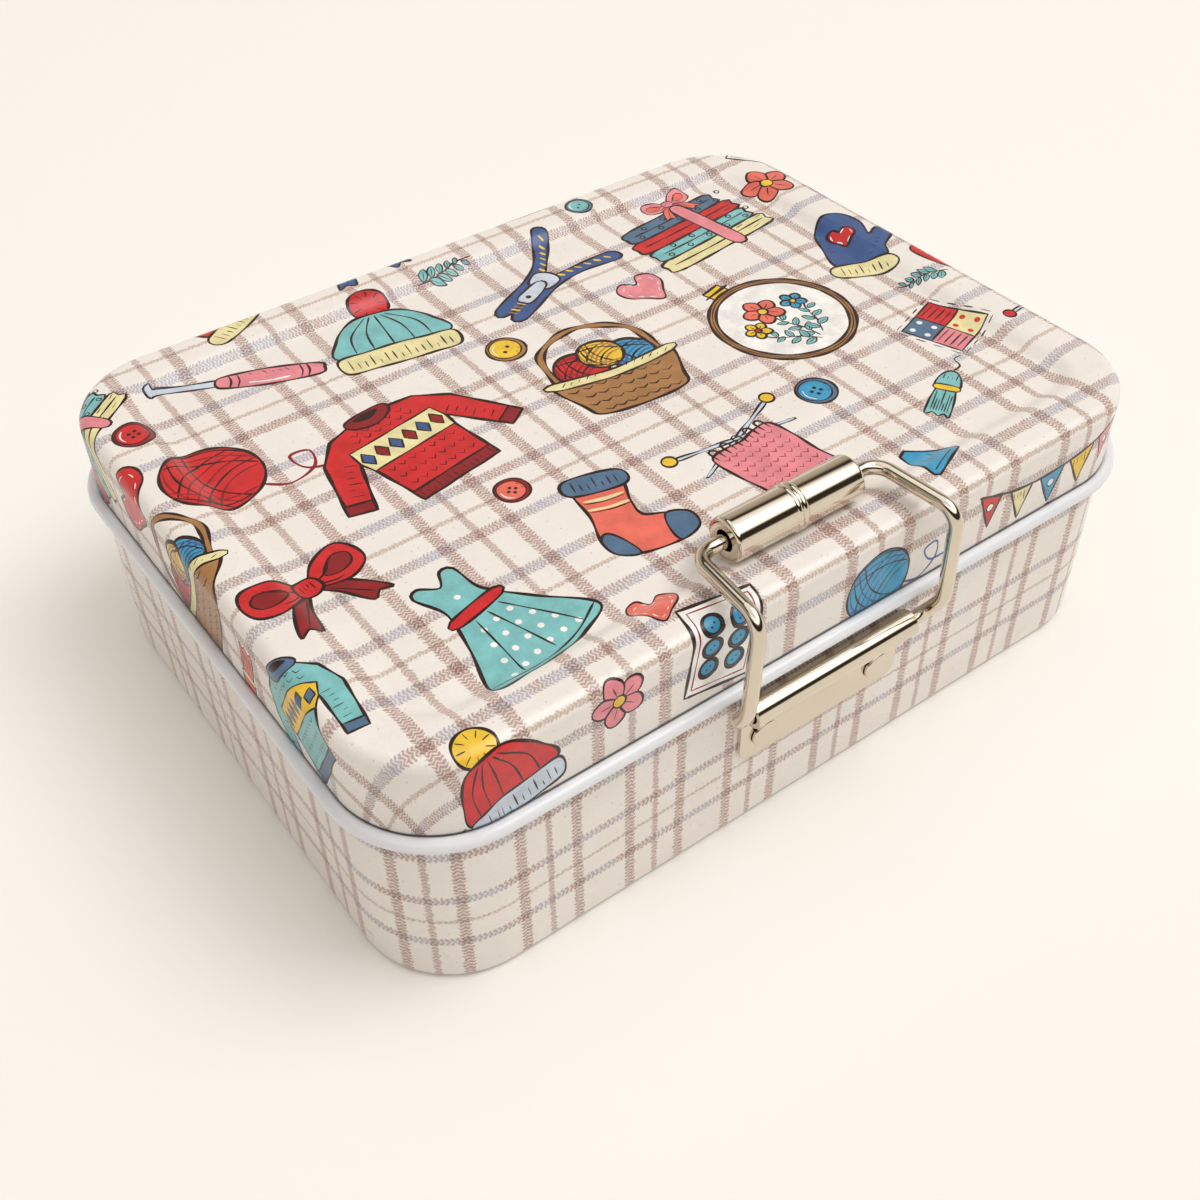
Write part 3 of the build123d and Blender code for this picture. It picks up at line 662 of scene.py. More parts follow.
# %% Knitted things
def stitches(left, right, rows, pitch, height, ink="ink"):
    """Rows of small V marks between two lines of points, as on stocking stitch."""
    for low_left, low_right in zip(*(np.linspace(*pair, rows) for pair in (left, right))):
        count = max(1, int(abs(low_right - low_left) / pitch))
        for i in range(count):
            foot = low_left + (low_right - low_left) * (i + 0.5) / count
            line([foot + complex(-0.38 * pitch, height / 2), foot,
                  foot + complex(0.38 * pitch, height / 2)], 0.35, ink, soft=False)


def jumper(ink="red", band="cream", cuff="wine"):
    body = both(-11-15j, -11.6, -12.5+4j, -20-10j, -25.5-7.5j, -18.5+9j, -12+15j, -5+16.5j)
    fill(body, ink, 0.8, soft=False)
    fill(both(-11.6, -12.4+4j, -11.8+8.6j), band, 0.5, soft=False)
    for i in range(6):
        diamond = [complex(-10 + 4 * i, 4.3) + p for p in (-1.6, 2.6j, 1.6, -2.6j)]
        fill(diamond, cuff if i % 2 else "blue", 0.4, soft=False)
    for side in (1, -1):
        fill(mirrored(side, [20-10j, 25.5-7.5j, 24.2-4.4j, 18.6-6.9j]), cuff, 0.6, soft=False)
    fill(both(-11-15j, -11.3-11.4j), cuff, 0.6, soft=False)
    hatch(-10-14.4j, 10-14.4j, 2.4j, 14, 0.35)
    fill([-6+17.3j, -5+14.6j, 12.8j, 5+14.6j, 6+17.3j, 3.5+18.4j, -3.5+18.4j], cuff, 0.6)
    fill(both(-3.6+17.2j, 15.4j) + [18j], "ink", 0)
    stitches((-9.6-9.6j, -10.2-2.8j), (9.6-9.6j, 10.2-2.8j), 3, 2.6, 2.2)
    stitches((-9+10.2j, -8+12.4j), (9+10.2j, 8+12.4j), 2, 2.8, 2.0)
    hatch(15.5+6j, 21-3j, -2.6-1.6j, 6, 0.35)
    hatch(-15.5+6j, -21-3j, 2.6-1.6j, 6, 0.35)


def mitten(ink="blue", cuff="cream", mark="red"):
    fill([-6.2-8j, -7.6+2j, -7+10j, -3+15.5j, 2.4+15.5j, 6+10j, 6.2+3.6j, 9+6.4j, 12.2+5.4j,
          12+2j, 8.6-2.6j, 6.4-8j], ink)
    fill(both(-7.4-13j, -7.6-7.6j), cuff, 0.7)
    hatch(-6-12j, 6-12j, 3.8j, 8)
    put(heart, -0.8, 5, 1, 0, mark, "white", 3.6)
    hatch(4.6-5j, 8.6+0.6j, -1.8+0.5j, 4, 0.35)
    hatch(-6-4j, -6.4+4j, 1.8+0.3j, 5, 0.35)


def hat(ink="teal", cuff="cream", ball="red"):
    fill(circle(15.6j, 5), ball)
    for i in range(9):
        root = 15.6j + 2.2 * np.exp(1j * i * 0.7)
        line([root, root + 2.2 * np.exp(1j * i * 0.7)], 0.4)
    fill(both(-13-3j, -12+5j, -6.4+11.4j, 12.6j), ink)
    for s in (-0.75, -0.4, 0, 0.4, 0.75):
        line([complex(12.6 * s, -2), complex(11 * s, 5), complex(3.4 * s, 11.6)], 0.45)
    fill([-14-9j, -14.4-3j, -7-2.4j, -2j, 7-2.4j, 14.4-3j, 14-9j, 7-9.6j, -9.8j, -7-9.6j], cuff)
    hatch(-12.4-8.2j, 12.4-8.2j, 4.2j, 15, 0.38)


def swatch(ink="pink", shade="wine", knob="yellow"):
    for side in (1, -1):
        line([complex(side * 17, 16.5), complex(-side * 16, 6.5)], 1.5, soft=False)
        line([complex(side * 16.6, 16.3), complex(-side * 15.4, 6.8)], 0.7, "pale", soft=False)
        fill(circle(complex(side * 17.4, 16.8), 1.9, 10), knob, 0.6)
    fill([-10+10j, -10.6+2j, -10-6j, -10.6-14j, -5-13.2j, -14.2j, 5-13.2j, 10.4-14.2j, 10-5j,
          10.6+3j, 10+10j, 5+10.8j, 10j, -5+10.8j], ink)
    stitches((-8.8-12j, -8.8+7j), (8.8-12j, 8.8+7j), 8, 2.5, 1.9, shade)
    for x in (-8, -4, 0, 4, 8):
        line([complex(x + p.real, p.imag) for p in (-1+8.6j, -0.8+12.4j, 0.9+12.2j, 1+8.6j)], 0.6)


def sock(ink="coral", toe="steel"):
    fill([-5.5+14j, -5.2+2j, -6-6j, -4.4-11j, 2-12.6j, 10-11.8j, 15.4-9j, 15-4j, 10-2.4j,
          5.6-1j, 5+4j, 5.6+14j], ink)
    fill([10-11.8j, 15.4-9j, 15-4j, 10.4-2.6j, 9-7j], toe, 0.55)
    fill([-6-6j, -4.4-11j, 0.4-12.4j, -1.4-7j, -4-4j], toe, 0.55)
    fill(both(-6.4+10j, -6.4+15.4j), toe)
    hatch(-5+11j, 5+11j, 3.6j, 7)
    for y in (7.4, 4.4):
        line([complex(-4.8, y), complex(0, y - 0.5), complex(4.8, y)], 0.9, "cream")
        line([complex(-4.8, y - 0.8), complex(0, y - 1.3), complex(4.8, y - 0.8)], 0.35)

# %% Cloth and tools
def hoop(cloth="white", petals="coral"):
    fill(both(-3+17.4j, -3+21.5j), "yellow", 0.7, soft=False)
    line([-4.6+19.5j, 4.6+19.5j], 0.9)
    fill(circle(0, 18, 22), "tan", 0.8)
    fill(circle(0, 16.2, 22), cloth, 0.7)
    line(circle(0, 17.1, 22), 0.3, closed=True)
    for x, y, turn in ((-1, -4, 0), (5.4, -5, -38), (-6, -6.4, 35)):
        put(sprig, x, y, 0.62, turn, "teal", "ink", 3)
    for x, y, ink, radius in ((-0.6, 5.4, petals, 5), (8, 2.2, "sky", 3.2), (-8.4, 1.6, "yellow", 3.2)):
        put(flower, x, y, 1, 0, ink, "yellow" if ink != "yellow" else "red", radius)


def zipper(tape="blue"):
    for side in (1, -1):
        fill(mirrored(side, [0.4-19j, 4.4-19j, 4.6-2j, 7.4+8j, 13.5+18j, 9.5+19.6j, 4+9j, 0.8-1j]), tape)
        hatch(*mirrored(side, [3-17j, 3-4j, -0.9]), 10, 0.3)
        for i in range(7):
            foot = 1.6 + 2.0 * i / 6 * 2.4 + 1j * (1 + 2.6 * i) + i * i * 0.09
            line(mirrored(side, [foot - 0.6, foot + 1.4 + 0.5j]), 1.0, "yellow")
    for i in range(11):
        tooth = [complex(-1.2, -18 + 1.55 * i), complex(1.2, -17.6 + 1.55 * i)]
        line(tooth, 0.8, "yellow" if i % 2 else "tan")
    fill(both(-3-3.6j, -3.6+1.6j, 3.4j) + [-4.4j], "pale")
    fill(both(-1.5-2j, -2.2-11j, -12.4j), "pale", 0.6)
    fill(circle(-9.4j, 0.8, 8), "ink", 0)


def folded(inks=("cream", "teal", "red", "steel")):
    """A pile of folded cloths, tied with a ribbon."""
    for i, ink in enumerate(inks):
        y, reach = -11 + 5.6 * i, 17.5 - 1.2 * (i % 2) - 0.4 * i
        fill([complex(-reach, y), complex(-reach - 1.6, y + 2.7), complex(-reach, y + 5.4),
              complex(0, y + 5.7), complex(reach, y + 5.3), complex(reach + 0.5, y + 2.7),
              complex(reach, y + 0.1), complex(0, y - 0.3)], ink, 0.75)
        line([complex(-reach + 1, y + 2.8), complex(-2, y + 2.5), complex(reach - 0.4, y + 2.9)], 0.5)
        for k in range(10):
            spot = complex(-reach + 2.6 + k * 3.5, y + (4.2 if k % 2 else 1.3))
            if i % 2:
                line(circle(spot, 0.7, 8), 0.4, closed=True)
            elif k > 5:
                line([spot - 1.4, spot + 1.2 + 0.2j], 0.4)
    fill([2.6-11.6j, 2.2, 2.6+11.6j, 6.4+11.6j, 6.8, 6.4-11.6j], "pink", 0.6)
    put(bow, 4.6, 14.6, 0.5, 0, "pink", "coral")


def hook(handle="pink"):
    fill([-1.2+3j, -1.0+17j, -2.2+20j, 0.4+21.6j, 2.2+20.2j, 0.6+19.4j, 1.2+17j, 1.3+3j], "pale", 0.6)
    fill(both(-2.4-20j, -3.4-8j, -2.6+2j, -1.4+4.6j) + [-21.4j], handle)
    for y in (1.6, -0.4, -15.5, -17.2):
        line([complex(-2.7, y), complex(0, y - 0.6), complex(2.7, y)], 0.5)
    line([-1.4-13j, -1.9-8j, -1.4-3j], 0.6, "white")
    hatch(1.2-13j, 1.6-4j, 1.2+1j, 6, 0.35)


def dress(ink="teal", dots="white", belt="red"):
    fill([-6+16j, -3.4+17.4j, 14j, 3.4+17.4j, 6+16j, 5+9j, 6.2+4.6j, 10-3j, 16-14.4j, 8-17j,
          -17.8j, -8-17j, -16-14.4j, -10-3j, -6.2+4.6j, -5+9j], ink)
    fill(both(-6.4+5.6j, -6.4+3j), belt, 0.6)
    for row, (y, half) in enumerate(((-1, 6), (-5, 8.4), (-9, 10.4), (-13, 12.4), (9.4, 3.4))):
        for k in range(-3, 4):
            x = (k + 0.5 * (row % 2)) * 3.9
            if abs(x) < half:
                fill(circle(complex(x, y - 0.01 * x * x), 0.75, 8), dots, 0)
    for x in (-3.2, 0.6, 4.4):
        line([complex(x * 0.9, 2), complex(x * 1.7, -7), complex(x * 2.4, -15)], 0.4)
    line(both(-15.4-13.4j, -8-15.6j, -16.4j), 0.45)


def basket(first_wool="red", second_wool="sky"):
    line(both(-14+2j, -12+15j, 21j), 2.3)
    line(both(-14+2j, -12+15j, 21j), 1.2, "tan")
    for x, y, radius, ink, shade in ((-6.4, 5.4, 6.6, first_wool, "wine"), (7, 5, 6.2, second_wool, "blue"),
                                     (0.6, 8.4, 5.6, "yellow", "tan")):
        put(wool, x, y, 1, 0, ink, shade, radius, False)
    fill(both(-15.6+3j, -13.4-8j, -11-12.4j, -13.6j) + [1j], "tan", 0.8)
    for row in range(4):
        y, half = -1.4 - 3.1 * row, 14 - 0.9 * row
        for k in range(8):
            x = -half + 2 * half * (k + 0.5 * (row % 2)) / 7.6
            if x + 2.6 < half:
                line([complex(x, y), complex(x + 1.5, y - 0.9), complex(x + 3, y)], 0.5)
    fill(both(-16.4+3.6j, -16+0.8j, -1.2j) + [1.6j], "cream", 0.6)
    hatch(-14+1.2j, 14+1.2j, 1.4+1.2j, 14, 0.4)


def bunting(inks=("red", "cream", "sky", "yellow", "pink")):
    cord = drawn([-26+4j, -13-0.5j, -1.8j, 13-0.4j, 26+4.4j], False)
    for i, ink in enumerate(inks):
        a, b = (cord[int((len(cord) - 1) * (i + f) / len(inks))] for f in (0.1, 0.86))
        fill([a, b, (a + b) / 2 - 9.5j], ink, 0.6, soft=False)
        if i % 2:
            hatch(a * 0.8 + b * 0.2 - 1.2j, a * 0.35 + b * 0.65 - 1.2j, 0.2-2.6j, 4, 0.35)
        else:
            fill(circle((a + b) / 2 - 3.4j, 1.2, 8), "white", 0.35)
    line(cord, 0.8, soft=False)


def button_card(ink="sky"):
    fill(both(-9-12j, -9+12j), "white", 0.8, soft=False)
    line(both(-7.4-10.4j, -7.4+10.4j), 0.35, "wine", True, False)
    for x in (-3.6, 3.6):
        for y in (-5.6, 0, 5.6):
            put(button, x, y, 1, 0, ink, 2.6, "steel", 2)


def chalk(ink="sky"):
    fill([-8-5j, -7-6.4j, 7-6.4j, 8-5j, 1.4+7j, -1.4+7j], ink, 0.75, soft=False)
    line([-6-4.6j, 6-4.6j], 0.4)
    hatch(-2.4-3j, 3.4-3j, 1.2+4.4j, 5, 0.4)


def patch(inks=("pink", "cream", "steel", "red")):
    for i, ink in enumerate(inks):
        corner = complex(-8 + 8 * (i % 2), -8 + 8 * (i // 2))
        fill([corner, corner + 8, corner + 8 + 8j, corner + 8j], ink, 0.5, soft=False)
        for k in range(4):
            if i % 3:
                spot = corner + complex(2 + 4 * (k % 2), 2 + 4 * (k // 2))
                fill(circle(spot, 0.8, 8), "white" if i > 1 else "red", 0)
            else:
                line([corner + complex(0.8, 1.8 + 1.7 * k), corner + complex(7.2, 1.5 + 1.7 * k)], 0.4)
    for i in range(16):
        side, step = divmod(i, 4)
        start = np.exp(1j * side * pi / 2) * complex(-9.2 + 4.6 * step + 1, -9.2)
        line([start, start + 2.6 * np.exp(1j * side * pi / 2)], 0.5)

# %% Lay the motifs out
layout = [                  # (motif, x, y, size, degrees turned, its own choices), first on the top
    (hook, -64, 54, 0.95, 68), (hat, -27, 47, 1.0, -9), (zipper, 17, 47, 0.95, -62),
    (folded, 62, 43, 1.0, 8), (wool, -84, 24, 0.92, 0), (jumper, -44, 8, 0.98, 11),
    (basket, 7, 4, 0.98, -5), (hoop, 52, -2, 0.98, 16), (mitten, 87, 11, 0.95, -24),
    (bow, -84, -18, 0.92, 12), (dress, -60, -46, 0.95, 16), (sock, -24, -37, 0.95, -14),
    (swatch, 14, -42, 0.92, 9), (patch, 80, -28, 0.95, 20), (tassel, 60, -47, 0.7, -58),
    (button, -8, 27, 0.8, 0, "yellow", 6, "tan", 2), (button, -92, 46, 0.75, 15),
    (heart, 34, 28, 0.75, 12), (button, 38, -29, 0.8, 30, "sky", 6, "steel"), (flower, 91, 48, 0.95, 0),
    (chalk, 39, -62, 0.8, 24), (heart, -35, -64, 0.6, -15, "coral"), (sprig, 90, -11, 0.6, 75),
    (button, -36, -17, 0.65, 50, "coral", 6, "wine"), (sprig, -2, 64, 0.72, -80),
    (button, 43, 69, 0.6, 0, "teal", 6, "steel", 2),
    # the front
    (button_card, -27, -80, 0.9, -9), (bunting, 66, -82, 0.92, 3),
    (hat, -78, -86, 0.85, 14, "red", "pale", "yellow"), (wool, 14, -88, 0.72, 20, "sky", "blue"),
    (flower, -52, -80, 0.8, 20, "pink", "yellow"),
    # the left side, then the right one
    (basket, -108, 2, 0.85, -20), (jumper, -106, -44, 0.7, -30, "teal", "yellow", "steel"),
    (heart, -104, 30, 0.9, 0, "red"), (folded, -104, 58, 0.8, 40),
    (tassel, -113, -20, 0.6, 80, "coral", "cream"),
    (swatch, 112, -42, 0.8, 25, "cream", "tan", "red"), (wool, 108, 37, 0.8, 0, "pink", "wine"),
    (sock, 110, -4, 0.85, 100, "teal", "red"), (button_card, 103, 63, 0.8, 40, "red"),
    # the back
    (mitten, -60, 80, 0.9, 30, "red", "cream", "white"), (bow, -18, 82, 0.85, 5, "sky", "blue"),
    (dress, 26, 88, 0.8, -8, "coral", "white", "blue"),
    (bunting, 70, 82, 0.8, -4, ("teal", "red", "cream", "blue", "coral")),
]
for motif, *choices in layout:
    put(motif, *choices)
print("motifs:", len(layout), "shapes:", len(art))

# %% [markdown]
# ## The lid
#
# The lid is drawn from a flat printed sheet too. Its shape is a walk from the corners' centres outwards:
# the sunk panel, a soft step up, the raised border, the round edge and the skirt. Every point of the flat
# print has a distance past the nearest corner centre, and the walk says where that distance lands. So the
# print is cut and coloured flat, where drawing is easy, and then laid over the form. Ripples a few tenths of
# a millimetre deep run along the step, as the press leaves them where thin sheet is gathered.

# %% The lid's section
LID_HEIGHT, PANEL, LEDGE, EDGE_BEND, SKIRT_BEND = 65.0, 62.8, 45.38, 3.0, 0.75
PANEL_RUN, STEP_BEND, STEP_ANGLE, STEP_RUN, BORDER_RUN = 6.216, 5.0, 28.81, 1.997, 6.216
lid_section, lid_headings, lid_far = walk((0, PANEL), 0, [
    (PANEL_RUN, 0), (STEP_BEND, STEP_ANGLE), (STEP_RUN, 0), (STEP_BEND, -STEP_ANGLE), (BORDER_RUN, 0),
    (EDGE_BEND, -90), (LID_HEIGHT - EDGE_BEND - LEDGE - SKIRT_BEND, 0), (SKIRT_BEND, -90)], arc_step=1)
REACH = float(lid_far[-1])
# Each ripple is (x, y, depth, reach along x, reach along y), and they follow each other every 12 mm.
RIPPLE_DEPTH, RIPPLE_SHORT, RIPPLES_END, BUCKLE = 0.38, 4.2, 21.0, 0.10
RIPPLES = [(x, y, 0.5 + 0.5 * sin(7 * i), 5 + 3 * sin(3 * i), RIPPLE_SHORT)
           for i, (x, y) in enumerate((x, y) for y in (-60, 60) for x in range(-72, 73, 12))] + [
           (x, y, 0.5 + 0.5 * sin(5 * i + 2), RIPPLE_SHORT, 5 + 3 * sin(4 * i))
           for i, (x, y) in enumerate((x, y) for x in (-85, 85) for y in range(-48, 49, 12))]


def nearest_spine(flat):
    """Foot on the rectangle of the corners' centres, distance past it and direction, for points in mm."""
    foot = np.clip(flat, -SPINE, SPINE)
    away = flat - foot
    far = np.hypot(away[:, 0], away[:, 1])
    return foot, far, away / np.maximum(far, 1e-9)[:, None]


def lay_on_lid(flat):
    """Where points of the flat print lie on the drawn lid, in mm."""
    foot, far, way = nearest_spine(flat)
    spots = foot + way * np.interp(far, lid_far, lid_section[:, 0])[:, None]
    rise = np.interp(far, lid_far, lid_section[:, 1])
    dent = np.zeros(len(flat))
    for x, y, depth, reach_x, reach_y in RIPPLES:
        dent += depth * np.exp(-((flat[:, 0] - x) / reach_x) ** 2 - ((flat[:, 1] - y) / reach_y) ** 2)
    calm = np.clip((REACH - RIPPLES_END - far) / 6, 0, 1)            # none past the border
    wave = BUCKLE * np.sin(flat[:, 0] / 13 + 1) * np.sin(flat[:, 1] / 11) * np.clip((8 - far) / 8, 0, 1)
    return np.column_stack([spots, rise - RIPPLE_DEPTH * dent * calm + wave])


print("lid: the print reaches", round(REACH, 2), "mm past the corners' centres")

# %% [markdown]
# Delaunay triangulation joins scattered points into well shaped triangles and keeps given edges, which no
# bmesh operator does where lines cross. It gets the outlines of all fills and pen lines, the sheet's cut
# edge, and rings of points close together wherever the sheet bends. A triangle then takes the ink of the
# last polygon that holds its middle, by the winding of that polygon round it.

# %% Cut the print into triangles
BENDS = ((6.2, 13.3, 0.5), (19.4, 24.2, 0.5), (27, 40, 3.3), (40.2, 41, 0.27))     # (from, to, rings' gap)
RING_SPACING, GRID_SPACING = 2.5, 4.5                     # mm between points of a ring, and of the flat panel


def flat_points(shape):
    return np.column_stack([shape.real, shape.imag])


def ring(far):
    """Points round the flat sheet, at a distance past the corners' centres."""
    turn = np.exp(1j * np.linspace(0, pi / 2, max(2, round(far * pi / 2 / RING_SPACING)) + 1)) * far
    points = []
    for quarter in range(4):
        side = 2 * SPINE[quarter % 2]
        corner = complex(*SPINE[::1 if quarter % 2 == 0 else -1])
        count = round(side / RING_SPACING)
        run = -np.arange(1, count) / count * side
        points.append((corner + np.concatenate([turn, turn[-1] + run])) * 1j ** quarter)
    return flat_points(np.concatenate(points))


rings = [ring(far) for a, b, gap in BENDS for far in np.linspace(a, b, 1 + round((b - a) / gap))]
grid = np.stack(np.meshgrid(*(np.arange(-s - 3, s + 4, GRID_SPACING) for s in SPINE)), axis=-1).reshape(-1, 2)
loops = [ring(REACH)] + [flat_points(shape) for _, shape in art]
cloud = np.vstack(loops + rings + [grid + HAIR * np.sin(grid * 7)[:, ::-1]])
starts = np.cumsum([0] + [len(loop) for loop in loops])
edges = [(a + i, a + (i + 1) % (b - a)) for a, b in zip(starts, starts[1:]) for i in range(b - a)]
flat, _, triangles, *_ = delaunay_2d_cdt([Vector(point) for point in cloud], edges, [], 0, 1e-4, False)
flat, triangles = np.array([tuple(point) for point in flat]), np.array(triangles)


def held_by(loop, spots):
    """Indices of the spots, which are in the order of their y, that a closed loop winds round."""
    (left, bottom), (right, top) = loop.min(0), loop.max(0)
    first, last = np.searchsorted(spots[:, 1], (bottom, top))
    near = first + np.flatnonzero((spots[first:last, 0] > left) & (spots[first:last, 0] < right))
    x, y = spots[near].T
    turns = np.zeros(len(near), int)
    for (ax, ay), (bx, by) in zip(loop, np.roll(loop, -1, axis=0)):
        if ay != by:
            low, high = np.searchsorted(y, sorted((ay, by)))
            crossed = ax + (y[low:high] - ay) * (bx - ax) / (by - ay) > x[low:high]
            turns[low:high] += crossed * (1 if by > ay else -1)
    return near[turns != 0]


middles = flat[triangles].mean(axis=1)
order = np.argsort(middles[:, 1])
order = order[held_by(loops[0], middles[order])]
triangles, middles = triangles[order], middles[order]
ink_of = np.zeros(len(triangles), int)
names = list(INKS)
for (ink, _), loop in zip(art, loops[1:]):
    ink_of[held_by(loop, middles)] = names.index(ink) + 1
print("lid print:", len(flat), "points,", len(triangles), "triangles")

# %% [markdown]
# The flat sheet laid over the form is only the lid's outside. Its open edge is then extruded ring by ring:
# under the skirt, down the neck that goes inside the body, round the folded hem, and back up the inside of
# the form. The last ring is filled, so that the lid is closed sheet metal of a real thickness.

# %% Lay the sheet on and turn its edge inwards
NECK, NECK_DROP, HEM_BEND, HEM_FLAT, HEM_RUN = CORNER - SKIRT_BEND, 2.48, 0.4, 0.2, 1.2
mesh = bpy.data.meshes.new("lid_outside")
mesh.from_pydata(lay_on_lid(flat) * MM, [], triangles.tolist())
mesh.attributes.new("ink_number", "INT", "FACE").data.foreach_set("value", ink_of)
mesh.uv_layers.new(name="print_mm").data.foreach_set("uv", flat[triangles].ravel())
outside = bmesh.new()
outside.from_mesh(mesh)
bmesh.ops.delete(outside, geom=[vert for vert in outside.verts if not vert.link_faces], context="VERTS")
cut_edges = [edge for edge in outside.edges if len(edge.link_faces) == 1]
bm = bmesh.new()
cut_verts = dict.fromkeys(vert for edge in cut_edges for vert in edge.verts)
copies = {vert: bm.verts.new(vert.co) for vert in cut_verts}
rim = [bm.edges.new([copies[vert] for vert in edge.verts]) for edge in cut_edges]
under_side = [(r + SHEET * sin(h), z - SHEET * cos(h)) for (r, z), h in zip(lid_section, lid_headings)]
hem, _, _ = walk((NECK, LEDGE), -90, [
    (NECK_DROP, 0), (HEM_BEND, -90), (HEM_FLAT, 0), (HEM_BEND, -90), (HEM_RUN, 0), (0, 90), (SHEET, 0),
    (0, 90)], 30)
ways_in = [*hem[1:], (NECK - SHEET, LEDGE + SHEET), (NECK, LEDGE + SHEET), *under_side[-2:0:-7]]
for r, z in ways_in:
    rim = push(bm, rim)
    verts = list(dict.fromkeys(vert for edge in rim for vert in edge.verts))
    foot, _, way = nearest_spine(np.array([vert.co[:2] for vert in verts]) / MM)
    for vert, spot in zip(verts, foot + way * r):
        vert.co = Vector((*spot, z)) * MM
bmesh.ops.edgeloop_fill(bm, edges=rim)
for face in bm.faces:
    face.material_index = 1
inside = bpy.data.meshes.new("lid_inside")
bm.to_mesh(inside)
bm.free()
outside.from_mesh(inside)
print("lid: cut edge of", len(cut_edges), "edges, carried inwards", len(ways_in), "times")

# %% [markdown]
# The lid's maps. The normals come from the form itself, because the cut triangles are too uneven to give
# smooth ones.

# %% Colours, maps and normals of the lid
PRINT_FILL, PRINT_MIDDLE = 0.98, (0.5, 0.40)              # part of the map's width, and where its middle lies
INSIDE_FILL, INSIDE_MIDDLE, INSIDE_WIDTH = 0.2, (0.5, 0.89), 215
tin_lid = new_piece("tin_lid", outside, [lid_print, white_coat], "lid", "lid_shell")
tin_lid.modifiers.clear()
mesh = tin_lid.data


def read(data, field, width=1, kind=int):
    values = np.empty(len(data) * width, kind)
    data.foreach_get(field, values)
    return values.reshape(-1, width) if width > 1 else values


sizes = read(mesh.polygons, "loop_total")
outer = np.repeat(read(mesh.polygons, "material_index") == 0, sizes)
on_sheet = read(mesh.uv_layers["print_mm"].data, "uv", 2, float)
palette = np.array([[0, 0, 0, 0]] + [linear(INKS[name]) for name in names])
ink_colours = palette[np.repeat(read(mesh.attributes["ink_number"].data, "value"), sizes) * outer]
mesh.color_attributes.new("ink", "FLOAT_COLOR", "CORNER").data.foreach_set("color", ink_colours.ravel())

spots = read(mesh.vertices, "co", 3, float)[read(mesh.loops, "vertex_index")][:, :2] / MM
baked = np.where(outer[:, None], on_sheet / (2 * (SPINE[0] + REACH)) * PRINT_FILL + PRINT_MIDDLE,
                 spots / INSIDE_WIDTH * INSIDE_FILL + INSIDE_MIDDLE)
mesh.uv_layers.new(name="OFBake").data.foreach_set("uv", baked.ravel())

inner_edges = np.zeros(len(mesh.edges), bool)
inner_edges[read(mesh.loops, "edge_index")[~outer]] = True
sharp_edges = read(mesh.edges, "use_edge_sharp", kind=bool) & inner_edges
mesh.attributes["sharp_edge"].data.foreach_set("value", sharp_edges)
STRIDE = 0.02                                             # mm over which the form's slope is measured
slopes = [lay_on_lid(on_sheet + way) - lay_on_lid(on_sheet - way) for way in ((STRIDE, 0), (0, STRIDE))]
normals = np.cross(*slopes)
normals = np.where(outer[:, None], normals / np.maximum(np.linalg.norm(normals, axis=1), 1e-12)[:, None], 0)
mesh.normals_split_custom_set(normals.tolist())
print("lid:", len(mesh.polygons), "faces,", int(outer.sum()), "corners with the form's own normals")

# %% [markdown]
# ## The bail
#
# The bail is one length of wire, bent in a jig: out of the knuckle, up past the rim and the lid's edge, back
# over the lid, and through the grip. The same is done here: a round section is pushed along each run and
# spun round each bend. A curve with a bevel would do too, but its bends would not be true arcs.

# %% Bend the wire
KNUCKLE_Y, KNUCKLE_Z, ARM_Y, GRIP_Y, GRIP_Z, WIRE = -78.05, 38.15, -82.3, -61.2, 69.3, 1.6
wire_corners = [Vector(corner) for corner in (
    (0.5, KNUCKLE_Y, KNUCKLE_Z), (26.4, KNUCKLE_Y, KNUCKLE_Z), (26.6, ARM_Y, 45.5), (25.6, ARM_Y, GRIP_Z),
    (23.7, GRIP_Y, GRIP_Z), (0, GRIP_Y, GRIP_Z))]
WIRE_BENDS = (4.4, 8.0, 4.4, 4.4)
bm = bmesh.new()
section = bmesh.ops.create_circle(bm, cap_ends=False, segments=40, radius=WIRE * MM)["verts"]
bmesh.ops.rotate(bm, verts=section, matrix=Matrix.Rotation(pi / 2, 3, "Y"))
bmesh.ops.translate(bm, verts=section, vec=wire_corners[0] * MM)
front_line = bm.edges[:]
bmesh.ops.edgeloop_fill(bm, edges=front_line)
here = wire_corners[0]
for corner, after, radius in zip(wire_corners[1:-1], wire_corners[2:], WIRE_BENDS):
    ahead, turned = (corner - here).normalized(), (after - corner).normalized()
    angle = ahead.angle(turned)
    cut = radius * sin(angle / 2) / cos(angle / 2)
    front_line = push(bm, front_line, corner - here - ahead * cut)
    axis = ahead.cross(turned).normalized()
    centre = corner - ahead * cut + axis.cross(ahead) * radius
    bend = bmesh.ops.spin(bm, geom=front_line, cent=centre * MM, axis=axis, angle=angle,
                          steps=ceil(degrees(angle) / 5), use_merge=False)
    front_line = only(bend["geom_last"], bmesh.types.BMEdge)
    here = corner + turned * cut
push(bm, front_line, wire_corners[-1] - here)
mirror(bm, "X")
new_piece("bail", bm, [nickel], "bail", "bail_wire")

# %% [markdown]
# ## Turned pieces
#
# The grip was rolled and its ends were turned in on a spinning lathe, and rivets and pins are round too, so
# their profiles are spun a full turn. The two rings at the grip's middle were rolled into the tube.

# %% Turn the grip
TURNED_EDGE = 40                                          # degrees from which a turned edge is sharp


